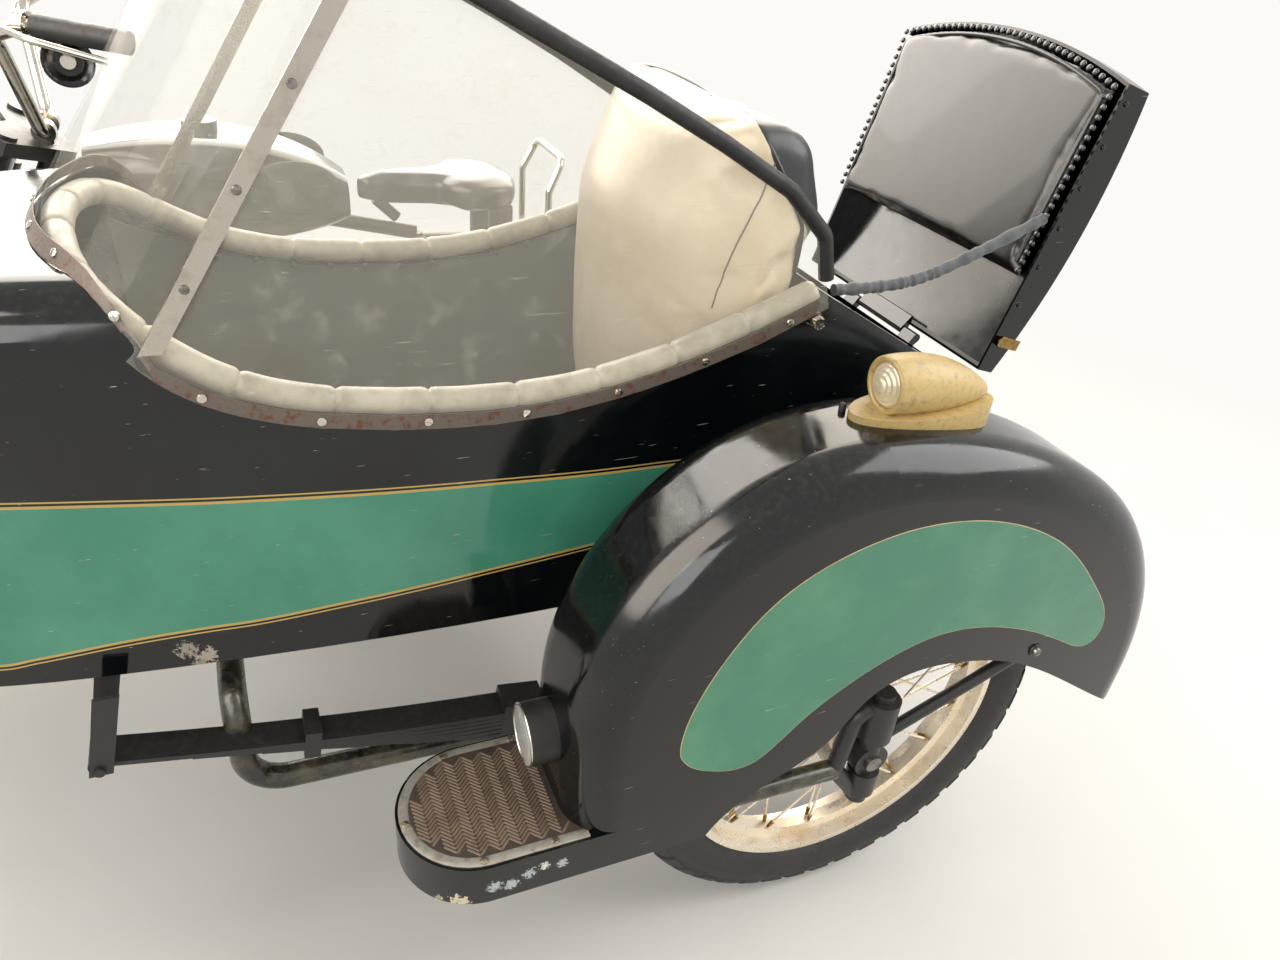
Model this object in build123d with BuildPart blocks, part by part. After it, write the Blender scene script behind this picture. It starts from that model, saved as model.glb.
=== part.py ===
from build123d import *
from math import atan2, cos, degrees, hypot, radians, sin, sqrt, tan
import os

# A vintage motorcycle with a boat-shaped passenger sidecar on its left side.
# Millimetres. +X is forward, +Y is to the left (the sidecar's side), +Z is up.
# The origin is on the floor, in the middle of the outfit's length and width.

os.makedirs("parts", exist_ok=True)

# Layout of the three wheels
TYRE_R = 330.0
TYRE_W = 90.0
WHEELBASE = 1400.0
TRACK = 1130.0
WHEEL_LEAD = 90.0
TAIL_REACH = 385.0
BAR_REACH = 350.0
SKIRT_REACH = 100.0
LENGTH = TAIL_REACH + WHEELBASE + TYRE_R
WIDTH = BAR_REACH + TRACK + SKIRT_REACH
REAR_X = TAIL_REACH - LENGTH / 2
FRONT_X = REAR_X + WHEELBASE
BIKE_Y = BAR_REACH - WIDTH / 2
CHAIR_X = REAR_X + WHEEL_LEAD
CHAIR_Y = BIKE_Y + TRACK
AXLE_Z = TYRE_R

# Fits and clearances
SOFT_GAP = 0.3
FACE_GAP = 0.3
AXLE_FIT = 0.05
RUN_GAP = 6.0

# Wheels
RIM_SEAT_R = 241.0
RIM_FLANGE = 11.0
RIM_R = RIM_SEAT_R + RIM_FLANGE
SIDEWALL_R = RIM_R + 0.385 * (TYRE_R - RIM_R)
RIM_W = 62.0
RIM_WALL = 3.0
HUB_R = 34.0
HUB_FLANGE_R = 55.0
HUB_W = 96.0
DRUM_R = 92.0
DRUM_W = 40.0
SPOKE_R = 1.9
SPOKES = 36
AXLE_R = 9.0
AXLE_NUT_R = 15.0

# Drive chain on the motorcycle's left, and the rear wheel's sprocket inside it
CHAIN_Y = 60.0
CHAIN_HALF = 5.0
CHAIN_FRONT_R = 36.0
CHAIN_REAR_R = 84.0
SPROCKET_R = CHAIN_REAR_R - CHAIN_HALF - RUN_GAP
SPROCKET_T = 6.0
SPROCKET_BOSS_R = 42.0

# Steering head and fork
RAKE = 27.0
TRAIL = 85.0
FORK_LEG_Y = 95.0
FORK_LEG_R = 24.0
FORK_TUBE_R = 17.5
STEM_R = 13.0
HEAD_TUBE_R = 24.0
HEAD_BOTTOM = 790.0
HEAD_TOP = 950.0
YOKE_T = 24.0
YOKE_GAP = 1.0
LEG_TOP = HEAD_TOP + YOKE_GAP + YOKE_T + 6.0
SHROUD_FROM = 560.0

# Bicycle frame
TUBE_R = 14.0
STAY_R = 10.0
CRADLE_Y = 80.0
CRADLE_Z = 175.0
PLUNGER_Y = 108.0
PLUNGER_R = 21.0
PLUNGER_LOW = 215.0
PLUNGER_HIGH = 470.0

# Engine
CRANK_X = 640.0
CRANK_Z = 330.0
CRANK_R = 118.0
CASE_HALF = 66.0
CYLINDER_X = 690.0
BARREL_R = 46.0
FIN_R = 74.0
FIN_T = 4.0
FIN_PITCH = 13.0
BARREL_BASE = 438.0
BARREL_FINS = 8
HEAD_FINS = 5

# Sidecar body
BODY_OFFSET = 425.0
BODY_Y = CHAIR_Y - BODY_OFFSET
BODY_WALL = 6.0
BODY_HALF = 276.0
BODY_TAIL_HALF = 240.0
BODY_SCUTTLE_HALF = 243.0
BODY_NOSE_HALF = 52.0
TAIL_X = -257.0
HINGE_Z = 742.0
SCUTTLE_X = 930.0
SCUTTLE_Z = 962.0
NOSE_X = 1490.0
NOSE_ROUND = 62.0
BONNET_ROUND = 14.0
BONNET_Z = 712.0
KEEL_Z = 640.0
SHOULDER_R = 64.0
CHINE_Z = 500.0
FLOOR_Z = 458.0
SHEER_REAR_X = 42.0
SHEER_REAR_Z = 912.0
SHEER_LOW_X = 450.0
SHEER_LOW_Z = 806.0

# Cockpit trim
ROLL_R = 17.0

# Windscreen
SCREEN_T = 4.0
SCREEN_LEAN = 32.0
RAIL_R = 9.5

# Luggage lid
LID_LENGTH = 423.0
LID_HALF = 236.0
LID_LEAN = 16.0
LID_FOOT_DEPTH = 28.0
LID_SHELL = 4.0
LID_RIM = 34.0
LID_BELLY = 58.0
LID_CROWN = 34.0

# Sidecar mudguard and footboard
GUARD_IN = 90.0
GUARD_WALL = 3.0
GUARD_ROUND = 58.0
GUARD_FRONT = 436.0
BOARD_TOP = 347.0
BOARD_DEPTH = 62.0
BOARD_TIP = 627.0


def bike(x, y, z):
    """A point given from the rear axle's foot on the floor, in the motorcycle's middle plane."""
    return (REAR_X + x, BIKE_Y + y, z)


def chair(x, y, z):
    """A point given from the sidecar wheel's foot on the floor."""
    return (CHAIR_X + x, CHAIR_Y + y, z)


def side_plane(y):
    """The upright plane across Y at y, with X to the right and Z up."""
    return Plane(origin=(0, y, 0), x_dir=(1, 0, 0), z_dir=(0, -1, 0))


def tube(points, radius, bend=None):
    """A round bar along straight runs, with an arc at each corner."""
    path = [Vector(*p) for p in points]
    with BuildLine() as run:
        if len(path) > 2:
            FilletPolyline(*path, radius=bend or 3 * radius)
        else:
            Line(*path)
    with BuildSketch(Plane(origin=run.line @ 0, z_dir=run.line % 0)) as section:
        Circle(radius)
    sweep(section.sketch, path=run.line)


def disc(x, y_from, y_to, z, radius, mode=Mode.ADD):
    """A round block across Y between two sides."""
    with BuildSketch(side_plane(y_to)) as face:
        with Locations((x, z)):
            Circle(radius)
    extrude(face.sketch, amount=y_to - y_from, mode=mode)


def cut_out(*builders):
    """Leaves room for pieces that are already built."""
    for builder in builders:
        add(builder.part, mode=Mode.SUBTRACT)


def save(part, label):
    """Writes one piece to its own file."""
    part.part.label = label
    export_step(part.part, f"parts/{label}.step")


# Steering axis: u runs up the axis from the floor, v stands ahead of it
AXIS_FOOT = REAR_X + WHEELBASE + TRAIL
RAKE_SIN = sin(radians(RAKE))
RAKE_COS = cos(radians(RAKE))
FORK_AHEAD = (FRONT_X - AXIS_FOOT) * RAKE_COS + AXLE_Z * RAKE_SIN
AXLE_U = (AXIS_FOOT - FRONT_X) * RAKE_SIN + AXLE_Z * RAKE_COS


def steer(u, v, y=0.0):
    return (AXIS_FOOT - u * RAKE_SIN + v * RAKE_COS, BIKE_Y + y, u * RAKE_COS + v * RAKE_SIN)


def steer_plane(u):
    """The plane across the steering axis at u, with X ahead."""
    return Plane(origin=steer(u, 0), x_dir=(RAKE_COS, 0, RAKE_SIN), z_dir=(-RAKE_SIN, 0, RAKE_COS))


# Wheels. Columns: body name, centre X, centre Y, side of the brake drum (+1 left, -1 right)
WHEELS = [
    ("front", FRONT_X, BIKE_Y, 1),
    ("rear", REAR_X, BIKE_Y, 1),
    ("sidecar", CHAIR_X, CHAIR_Y, -1),
]

TYRE_CUT = RIM_SEAT_R + RIM_WALL + SOFT_GAP

for name, wheel_x, wheel_y, drum_side in WHEELS:
    spin_axis = Axis((wheel_x, wheel_y, AXLE_Z), (0, 1, 0))
    profile_plane = Plane(origin=(wheel_x, wheel_y, AXLE_Z), x_dir=(0, 1, 0), z_dir=(1, 0, 0))

    # The tyre: rounded tread, straight shoulders, beads that stand in the rim
    with BuildPart() as tyre:
        with BuildSketch(profile_plane):
            with BuildLine():
                tread = ThreePointArc(
                    (-0.40 * TYRE_W, TYRE_R - 16.0), (0, TYRE_R), (0.40 * TYRE_W, TYRE_R - 16.0)
                )
                Line(tread @ 1, (0.46 * TYRE_W, TYRE_R - 24.0))
                ThreePointArc(
                    (0.46 * TYRE_W, TYRE_R - 24.0),
                    (0.5 * TYRE_W, SIDEWALL_R),
                    (0.5 * RIM_W + 2.0, RIM_R + 4.0),
                )
                Polyline(
                    (0.5 * RIM_W + 2.0, RIM_R + 4.0),
                    (0.5 * RIM_W + 2.0, RIM_R + SOFT_GAP),
                    (0.5 * RIM_W - RIM_WALL - SOFT_GAP, RIM_R + SOFT_GAP),
                    (0.5 * RIM_W - RIM_WALL - SOFT_GAP, TYRE_CUT),
                    (RIM_WALL + SOFT_GAP - 0.5 * RIM_W, TYRE_CUT),
                    (RIM_WALL + SOFT_GAP - 0.5 * RIM_W, RIM_R + SOFT_GAP),
                    (-0.5 * RIM_W - 2.0, RIM_R + SOFT_GAP),
                    (-0.5 * RIM_W - 2.0, RIM_R + 4.0),
                )
                ThreePointArc(
                    (-0.5 * RIM_W - 2.0, RIM_R + 4.0),
                    (-0.5 * TYRE_W, SIDEWALL_R),
                    (-0.46 * TYRE_W, TYRE_R - 24.0),
                )
                Line((-0.46 * TYRE_W, TYRE_R - 24.0), tread @ 0)
            make_face()
        revolve(axis=spin_axis)
    save(tyre, f"{name}_tyre")

    # The wheel: dropped-centre rim, laced spokes, hub with two flanges and a brake drum
    with BuildPart() as wheel:
        with BuildSketch(profile_plane):
            with BuildLine():
                Polyline(
                    (-0.5 * RIM_W, RIM_R),
                    (-0.5 * RIM_W, RIM_SEAT_R),
                    (-0.18 * RIM_W, RIM_SEAT_R - 3.0),
                    (-0.14 * RIM_W, RIM_SEAT_R - 15.0),
                    (0.14 * RIM_W, RIM_SEAT_R - 15.0),
                    (0.18 * RIM_W, RIM_SEAT_R - 3.0),
                    (0.5 * RIM_W, RIM_SEAT_R),
                    (0.5 * RIM_W, RIM_R),
                    (0.5 * RIM_W - RIM_WALL, RIM_R),
                    (0.5 * RIM_W - RIM_WALL, RIM_SEAT_R + RIM_WALL),
                    (0.18 * RIM_W - RIM_WALL, RIM_SEAT_R),
                    (0.14 * RIM_W - RIM_WALL, RIM_SEAT_R - 12.0),
                    (RIM_WALL - 0.14 * RIM_W, RIM_SEAT_R - 12.0),
                    (RIM_WALL - 0.18 * RIM_W, RIM_SEAT_R),
                    (RIM_WALL - 0.5 * RIM_W, RIM_SEAT_R + RIM_WALL),
                    (RIM_WALL - 0.5 * RIM_W, RIM_R),
                    close=True,
                )
            make_face()
        revolve(axis=spin_axis)
        disc(wheel_x, wheel_y - HUB_W / 2, wheel_y + HUB_W / 2, AXLE_Z, HUB_R)
        for edge in (-1, 1):
            flange_y = wheel_y + edge * (HUB_W / 2 - 8)
            disc(wheel_x, flange_y - 3, flange_y + 3, AXLE_Z, HUB_FLANGE_R)
        drum_y = wheel_y + drum_side * (HUB_W / 2 - DRUM_W / 2)
        disc(wheel_x, drum_y - DRUM_W / 2, drum_y + DRUM_W / 2, AXLE_Z, DRUM_R)
        if name == "rear":
            sprocket_y = wheel_y + CHAIN_Y
            disc(wheel_x, wheel_y + HUB_W / 2, sprocket_y, AXLE_Z, SPROCKET_BOSS_R)
            disc(wheel_x, sprocket_y - SPROCKET_T / 2, sprocket_y + SPROCKET_T / 2, AXLE_Z, SPROCKET_R)
        for i in range(SPOKES // 4):
            for edge, lace in ((-1, -1), (-1, 1), (1, -1), (1, 1)):
                start = radians(360 / (SPOKES // 4) * i + (0 if edge < 0 else 180 / (SPOKES // 4)))
                foot = (DRUM_R if edge == drum_side else HUB_FLANGE_R) - 5
                rim_turn = start + lace * radians(10)
                hub_turn = start + lace * radians(38)
                tube(
                    [
                        (
                            wheel_x + foot * cos(hub_turn),
                            wheel_y + edge * (HUB_W / 2 - 8),
                            AXLE_Z + foot * sin(hub_turn),
                        ),
                        (
                            wheel_x + (RIM_SEAT_R - 13) * cos(rim_turn),
                            wheel_y + edge * 4,
                            AXLE_Z + (RIM_SEAT_R - 13) * sin(rim_turn),
                        ),
                    ],
                    SPOKE_R,
                )
        disc(wheel_x, wheel_y - HUB_W, wheel_y + HUB_W, AXLE_Z, AXLE_R + AXLE_FIT, Mode.SUBTRACT)
    save(wheel, f"{name}_wheel")

# Axles, with a nut at each end
FORK_FOOT_Y = FORK_LEG_Y + FORK_LEG_R
AXLES = [
    ("front_axle", FRONT_X, BIKE_Y, -FORK_FOOT_Y - 8, FORK_FOOT_Y + 8),
    ("rear_axle", REAR_X, BIKE_Y, -PLUNGER_Y - PLUNGER_R - 8, PLUNGER_Y + PLUNGER_R + 8),
]


def axle_bar(x, y, low, high):
    disc(x, y + low, y + high, AXLE_Z, AXLE_R)
    for end, reach in ((low, -14), (high, 14)):
        near, far = sorted((end, end + reach))
        disc(x, y + near, y + far, AXLE_Z, AXLE_NUT_R)


for name, axle_x, axle_y, low, high in AXLES:
    with BuildPart() as axle:
        axle_bar(axle_x, axle_y, low, high)
    save(axle, name)

# Front fork: two legs with shrouds, two yokes and the steering stem
with BuildPart() as front_fork:
    for edge in (-1, 1):
        leg_y = edge * FORK_LEG_Y
        for radius, low_u, high_u in (
            (FORK_LEG_R, AXLE_U - 34, SHROUD_FROM),
            (FORK_TUBE_R, SHROUD_FROM, LEG_TOP),
            (FORK_LEG_R + 4, SHROUD_FROM + 40, HEAD_TOP - 60),
        ):
            tube([steer(low_u, FORK_AHEAD, leg_y), steer(high_u, FORK_AHEAD, leg_y)], radius)
    for yoke_u in (HEAD_BOTTOM - YOKE_GAP - YOKE_T, HEAD_TOP + YOKE_GAP):
        with BuildSketch(steer_plane(yoke_u)):
            with BuildLine():
                Polyline(
                    (-24, -18), (-24, 18), (FORK_AHEAD - 6, FORK_LEG_Y + 30),
                    (FORK_AHEAD + 30, FORK_LEG_Y + 22), (FORK_AHEAD + 30, FORK_LEG_Y - 30),
                    (FORK_AHEAD + 8, 0), (FORK_AHEAD + 30, 30 - FORK_LEG_Y),
                    (FORK_AHEAD + 30, -FORK_LEG_Y - 22), (FORK_AHEAD - 6, -FORK_LEG_Y - 30),
                    close=True,
                )
            make_face()
        extrude(amount=YOKE_T)
    tube([steer(HEAD_BOTTOM - YOKE_T, 0), steer(HEAD_TOP + YOKE_T, 0)], STEM_R)
    through = FORK_FOOT_Y + AXLE_R
    disc(FRONT_X, BIKE_Y - through, BIKE_Y + through, AXLE_Z, AXLE_R + AXLE_FIT, Mode.SUBTRACT)
save(front_fork, "front_fork")

# Handlebar, grips and levers. The bar rises, runs out and comes back to the rider
BAR_R = 11.0
GRIP_R = 16.0
GRIP_LENGTH = 125.0
BAR_CENTRE = steer(HEAD_TOP + YOKE_GAP + YOKE_T + 22, 18)
BAR_POINTS = [
    (BAR_CENTRE[0] + 12, 55, BAR_CENTRE[2]),
    (BAR_CENTRE[0] + 30, 165, 1062.0),
    (BAR_CENTRE[0] - 30, 270, 1090.0),
    (BAR_CENTRE[0] - 150, BAR_REACH - GRIP_R - 6, 1080.0),
]
with BuildPart() as handlebar:
    route = [(x, BIKE_Y - y, z) for x, y, z in reversed(BAR_POINTS)]
    route += [(x, BIKE_Y + y, z) for x, y, z in BAR_POINTS]
    tube(route, BAR_R, 40)
    for edge in (-1, 1):
        clamp_y = BIKE_Y + edge * 32
        disc(BAR_CENTRE[0] + 12, clamp_y - 12, clamp_y + 12, BAR_CENTRE[2], BAR_R + 7)
    foot = steer(HEAD_TOP + YOKE_GAP + YOKE_T, 18)
    for edge in (-1, 1):
        y = BIKE_Y + edge * 32
        tube([(foot[0], y, foot[2]), (BAR_CENTRE[0] + 8, y, BAR_CENTRE[2] - 2)], 9)
    cut_out(front_fork)
save(handlebar, "handlebar")

GRIP_END = Vector(*BAR_POINTS[3])
GRIP_DIR = (GRIP_END - Vector(*BAR_POINTS[2])).normalized()
with BuildPart() as grips:
    for edge in (-1, 1):
        tip = GRIP_END + GRIP_DIR * 5
        start = GRIP_END - GRIP_DIR * GRIP_LENGTH
        tube([(p.X, BIKE_Y + edge * p.Y, p.Z) for p in (start, tip)], GRIP_R)
        with BuildSketch(
            Plane(
                origin=(start.X, BIKE_Y + edge * start.Y, start.Z),
                z_dir=(GRIP_DIR.X, edge * GRIP_DIR.Y, GRIP_DIR.Z),
            )
        ) as bore:
            Circle(BAR_R + FACE_GAP)
        extrude(bore.sketch, amount=GRIP_LENGTH + 0.5, mode=Mode.SUBTRACT)
save(grips, "grips")

with BuildPart() as levers:
    for edge in (-1, 1):
        root = GRIP_END - GRIP_DIR * (GRIP_LENGTH + 16)
        blade = [
            (root.X + 26, BIKE_Y + edge * root.Y, root.Z - 6),
            (root.X - 10, BIKE_Y + edge * (root.Y + 52), root.Z - 12),
            (root.X - 100, BIKE_Y + edge * (root.Y + 72), root.Z - 34),
        ]
        tube(blade, 5, 30)
        at = Plane(
            origin=(root.X, BIKE_Y + edge * root.Y, root.Z), z_dir=(GRIP_DIR.X, edge * GRIP_DIR.Y, GRIP_DIR.Z)
        )
        with BuildSketch(at) as collar:
            Circle(BAR_R + 7)
            Circle(BAR_R + FACE_GAP, mode=Mode.SUBTRACT)
        extrude(collar.sketch, amount=8, both=True)
        tube([(root.X + 15, BIKE_Y + edge * root.Y, root.Z - 6), blade[0]], 6)
    cut_out(handlebar)
save(levers, "levers")

# Headlamp: a deep shell with a rim, held between the fork legs
LAMP_R = 82.0
LAMP_U, LAMP_V = 905.0, FORK_AHEAD + 62.0
lamp_at = steer(LAMP_U, LAMP_V)
with BuildPart() as headlamp:
    with Locations(lamp_at):
        Sphere(LAMP_R)
    with Locations((lamp_at[0] + LAMP_R, lamp_at[1], lamp_at[2])):
        Box(2 * LAMP_R, 3 * LAMP_R, 3 * LAMP_R, mode=Mode.SUBTRACT)
    tube([lamp_at, (lamp_at[0] + 30, lamp_at[1], lamp_at[2])], LAMP_R)
    tube([(lamp_at[0] + 14, lamp_at[1], lamp_at[2]), (lamp_at[0] + 32, lamp_at[1], lamp_at[2])], LAMP_R + 4)
    for ahead, radius in ((32, LAMP_R - 3), (46, LAMP_R - 34)):
        with BuildSketch(Plane(origin=(lamp_at[0] + ahead, lamp_at[1], lamp_at[2]), z_dir=(1, 0, 0))):
            Circle(radius)
    loft()
    for edge in (-1, 1):
        ear = BIKE_Y + edge * (FORK_LEG_Y + FORK_LEG_R + 4 + FACE_GAP + 3)
        near = BIKE_Y + edge * (LAMP_R - 6)
        low, high = sorted((near, ear))
        disc(lamp_at[0] - 6, low, high, lamp_at[2], 9)
        with BuildSketch(side_plane(ear + 3)):
            with BuildLine():
                Polyline(
                    (lamp_at[0] + 8, lamp_at[2] + 14), (lamp_at[0] + 8, lamp_at[2] - 14),
                    steer(LAMP_U - 16, FORK_AHEAD)[::2], steer(LAMP_U + 20, FORK_AHEAD)[::2], close=True,
                )
            make_face()
        extrude(amount=6)
    cut_out(front_fork)
save(headlamp, "headlamp")

# Mudguards of the motorcycle: a curved blade with rolled lips, and round stays
BLADE_W = 128.0
BLADE_WALL = 2.5


def blade_guard(x, y, radius, first, last):
    """A mudguard blade round a wheel, from one angle to another, measured from straight ahead."""
    outline = Plane(origin=(x, y, AXLE_Z), x_dir=(0, 1, 0), z_dir=(1, 0, 0))
    half = BLADE_W / 2
    with BuildSketch(outline) as section:
        with BuildLine():
            ThreePointArc((-half, radius - 26), (0, radius), (half, radius - 26))
            Line((half, radius - 26), (half - BLADE_WALL, radius - 26))
            ThreePointArc(
                (half - BLADE_WALL, radius - 26), (0, radius - BLADE_WALL), (BLADE_WALL - half, radius - 26)
            )
            Line((BLADE_WALL - half, radius - 26), (-half, radius - 26))
        make_face()
    axis = Axis((x, y, AXLE_Z), (0, -1, 0))
    turned = section.sketch.faces()[0].rotate(axis, first - 90)
    revolve(turned, axis=axis, revolution_arc=last - first)


def stay_pair(x, y, radius, angle, foot_y, foot_x=0.0, foot_z=0.0):
    """A round stay on each side, from by the axle to the blade's lip."""
    for edge in (-1, 1):
        tube(
            [
                (x + foot_x, y + edge * foot_y, AXLE_Z + foot_z),
                (
                    x + (radius - 22) * cos(radians(angle)),
                    y + edge * (BLADE_W / 2 + 2),
                    AXLE_Z + (radius - 22) * sin(radians(angle)),
                ),
            ],
            4,
        )


FRONT_GUARD_R = TYRE_R + 26.0
REAR_GUARD_R = TYRE_R + 46.0
with BuildPart() as front_mudguard:
    blade_guard(FRONT_X, BIKE_Y, FRONT_GUARD_R, 42, 200)
    stay_pair(FRONT_X, BIKE_Y, FRONT_GUARD_R, 197, FORK_FOOT_Y + 5, 0, -26)
    stay_pair(FRONT_X, BIKE_Y, FRONT_GUARD_R, 150, FORK_FOOT_Y + 5, 0, -26)
    brace_u = AXLE_U + FRONT_GUARD_R + 5
    brace_y = FORK_LEG_Y - FORK_LEG_R
    tube([steer(brace_u, FORK_AHEAD, -brace_y), steer(brace_u, FORK_AHEAD, brace_y)], 8)
    cut_out(front_fork)
save(front_mudguard, "front_mudguard")

with BuildPart() as rear_mudguard:
    blade_guard(REAR_X, BIKE_Y, REAR_GUARD_R, 38, 186)
    stay_pair(REAR_X, BIKE_Y, REAR_GUARD_R, 150, PLUNGER_Y, -8, 150)
    stay_pair(REAR_X, BIKE_Y, REAR_GUARD_R, 178, PLUNGER_Y, -8, 150)
save(rear_mudguard, "rear_mudguard")

# Bicycle frame, brazed from three pieces: the main tubes, the sprung rear stays and the twin cradle
SEAT_LUG = (455.0, 0.0, 690.0)
SEAT_FOOT = (420.0, 0.0, CRADLE_Z)
HEAD_LOW = steer(HEAD_BOTTOM + 50, 0)
HEAD_HIGH = steer(HEAD_TOP - 30, 0)


def stem_bore():
    """Clears the steering stem's way through the head tube."""
    with BuildSketch(steer_plane(HEAD_BOTTOM - YOKE_T)) as bore:
        Circle(STEM_R + FACE_GAP)
    extrude(bore.sketch, amount=HEAD_TOP - HEAD_BOTTOM + 2 * YOKE_T, mode=Mode.SUBTRACT)


with BuildPart() as bike_frame:
    tube([steer(HEAD_BOTTOM, 0), steer(HEAD_TOP, 0)], HEAD_TUBE_R)
    tube([HEAD_HIGH, bike(*SEAT_LUG)], TUBE_R)
    tube([bike(*SEAT_LUG), bike(*SEAT_FOOT)], TUBE_R)
    stem_bore()
save(bike_frame, "bike_frame")

with BuildPart() as frame_stays:
    for edge in (-1, 1):
        stay_y = edge * PLUNGER_Y
        tube(
            [
                bike(SEAT_LUG[0], 0, SEAT_LUG[2] - 12),
                bike(330, stay_y, 640),
                bike(20, stay_y, PLUNGER_HIGH - 10),
                bike(0, stay_y, PLUNGER_HIGH - 16),
            ],
            STAY_R,
            14,
        )
        tube([bike(0, stay_y, PLUNGER_LOW - 14), bike(0, stay_y, PLUNGER_HIGH)], PLUNGER_R)
    disc(REAR_X, BIKE_Y - 2 * PLUNGER_Y, BIKE_Y + 2 * PLUNGER_Y, AXLE_Z, AXLE_R + AXLE_FIT, Mode.SUBTRACT)
    cut_out(bike_frame)
save(frame_stays, "frame_stays")

with BuildPart() as frame_cradle:
    for edge in (-1, 1):
        rail_y = edge * CRADLE_Y
        tube(
            [
                HEAD_LOW,
                bike(930, rail_y, 300),
                bike(880, rail_y, CRADLE_Z),
                bike(420, rail_y, CRADLE_Z),
                bike(120, edge * PLUNGER_Y, PLUNGER_LOW + 12),
                bike(0, edge * PLUNGER_Y, PLUNGER_LOW + 12),
            ],
            TUBE_R,
            40,
        )
    for x, radius in ((480, 9), (840, 9), (SEAT_FOOT[0], TUBE_R)):
        tube([bike(x, -CRADLE_Y, CRADLE_Z), bike(x, CRADLE_Y, CRADLE_Z)], radius)
    stem_bore()
    cut_out(bike_frame, frame_stays)
save(frame_cradle, "frame_cradle")

# Engine: crankcase with gearbox behind, primary cover on the left, timing cover on the right
GEARBOX_X, GEARBOX_Z, GEARBOX_R = 500.0, 318.0, 74.0
CASE_LOW = CRADLE_Z + TUBE_R + FACE_GAP
with BuildPart() as engine_case:
    disc(REAR_X + CRANK_X, BIKE_Y - CASE_HALF, BIKE_Y + CASE_HALF, CRANK_Z, CRANK_R)
    disc(REAR_X + GEARBOX_X, BIKE_Y - CASE_HALF + 8, BIKE_Y + CASE_HALF - 8, GEARBOX_Z, GEARBOX_R)
    with BuildSketch(side_plane(BIKE_Y + CASE_HALF - 4)) as sump:
        with BuildLine():
            Polyline(
                bike(760, 0, CASE_LOW)[::2], bike(470, 0, CASE_LOW)[::2], bike(440, 0, 290)[::2],
                bike(470, 0, 388)[::2], bike(620, 0, BARREL_BASE)[::2], bike(745, 0, BARREL_BASE)[::2],
                bike(770, 0, 330)[::2], close=True,
            )
        make_face()
    extrude(sump.sketch, amount=2 * CASE_HALF - 8)
    # primary chain cover
    cover_y = BIKE_Y + CASE_HALF
    with BuildSketch(side_plane(cover_y + 46)) as cover:
        with Locations((REAR_X + CRANK_X + 8, CRANK_Z)):
            Circle(72)
        with Locations((REAR_X + GEARBOX_X - 6, GEARBOX_Z)):
            Circle(92)
        make_hull()
    extrude(cover.sketch, amount=50)
    # timing cover
    with BuildSketch(side_plane(BIKE_Y - CASE_HALF)) as timing:
        with Locations((REAR_X + CRANK_X, CRANK_Z)):
            Circle(62)
        with Locations((REAR_X + CRANK_X + 96, CRANK_Z + 66)):
            Circle(36)
        make_hull()
    extrude(timing.sketch, amount=40)
    fillet(engine_case.faces().filter_by(Axis.Y).sort_by(Axis.Y)[-1].edges(), 9)
    fillet(engine_case.faces().filter_by(Axis.Y).sort_by(Axis.Y)[0].edges(), 8)
    cut_out(bike_frame, frame_cradle)
save(engine_case, "engine_case")

# Barrel and head with their cooling fins
HEAD_BASE = BARREL_BASE + (BARREL_FINS + 0.5) * FIN_PITCH
HEAD_TOP_Z = HEAD_BASE + HEAD_FINS * FIN_PITCH + 14
ENGINE_AT = (REAR_X + CYLINDER_X, BIKE_Y)
with BuildPart() as cylinder:
    with BuildSketch(Plane.XY.offset(BARREL_BASE)):
        with Locations(ENGINE_AT):
            Circle(BARREL_R)
    extrude(amount=HEAD_BASE - BARREL_BASE)
    for i in range(BARREL_FINS):
        with BuildSketch(Plane.XY.offset(BARREL_BASE + (i + 0.6) * FIN_PITCH)) as fin:
            with Locations(ENGINE_AT):
                Circle(FIN_R)
        extrude(fin.sketch, amount=FIN_T)
    cut_out(engine_case)
save(cylinder, "cylinder")

with BuildPart() as cylinder_head:
    with BuildSketch(Plane.XY.offset(HEAD_BASE)):
        with Locations(ENGINE_AT):
            Circle(BARREL_R + 6)
    extrude(amount=HEAD_TOP_Z - HEAD_BASE)
    for i in range(HEAD_FINS):
        with BuildSketch(Plane.XY.offset(HEAD_BASE + (i + 0.3) * FIN_PITCH)) as fin:
            with Locations(ENGINE_AT):
                RectangleRounded(2 * FIN_R + 10, 2 * FIN_R, 26)
        extrude(fin.sketch, amount=FIN_T)
    with BuildSketch(Plane.XY.offset(HEAD_TOP_Z)) as rocker:
        with Locations((ENGINE_AT[0] - 4, ENGINE_AT[1])):
            RectangleRounded(112, 64, 20)
    extrude(rocker.sketch, amount=30)
    fillet(cylinder_head.faces().sort_by(Axis.Z)[-1].edges(), 6)
    tube([bike(CYLINDER_X, -22, HEAD_BASE + 32), bike(CYLINDER_X + 84, -22, HEAD_BASE + 32)], 22)
    tube([bike(CYLINDER_X, 0, HEAD_BASE + 34), bike(CYLINDER_X - 84, 0, HEAD_BASE + 34)], 19)
save(cylinder_head, "cylinder_head")

PORT_Z = HEAD_BASE + 34
with BuildPart() as carburettor:
    tube([bike(CYLINDER_X - 84, 0, PORT_Z), bike(CYLINDER_X - 158, 0, PORT_Z)], 21)
    tube([bike(CYLINDER_X - 120, 0, PORT_Z - 52), bike(CYLINDER_X - 120, 0, PORT_Z + 46)], 17)
    tube([bike(CYLINDER_X - 120, 30, PORT_Z - 66), bike(CYLINDER_X - 120, 30, PORT_Z + 4)], 21)
    tube([bike(CYLINDER_X - 158, 0, PORT_Z), bike(CYLINDER_X - 176, 0, PORT_Z)], 28)
save(carburettor, "carburettor")

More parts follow.
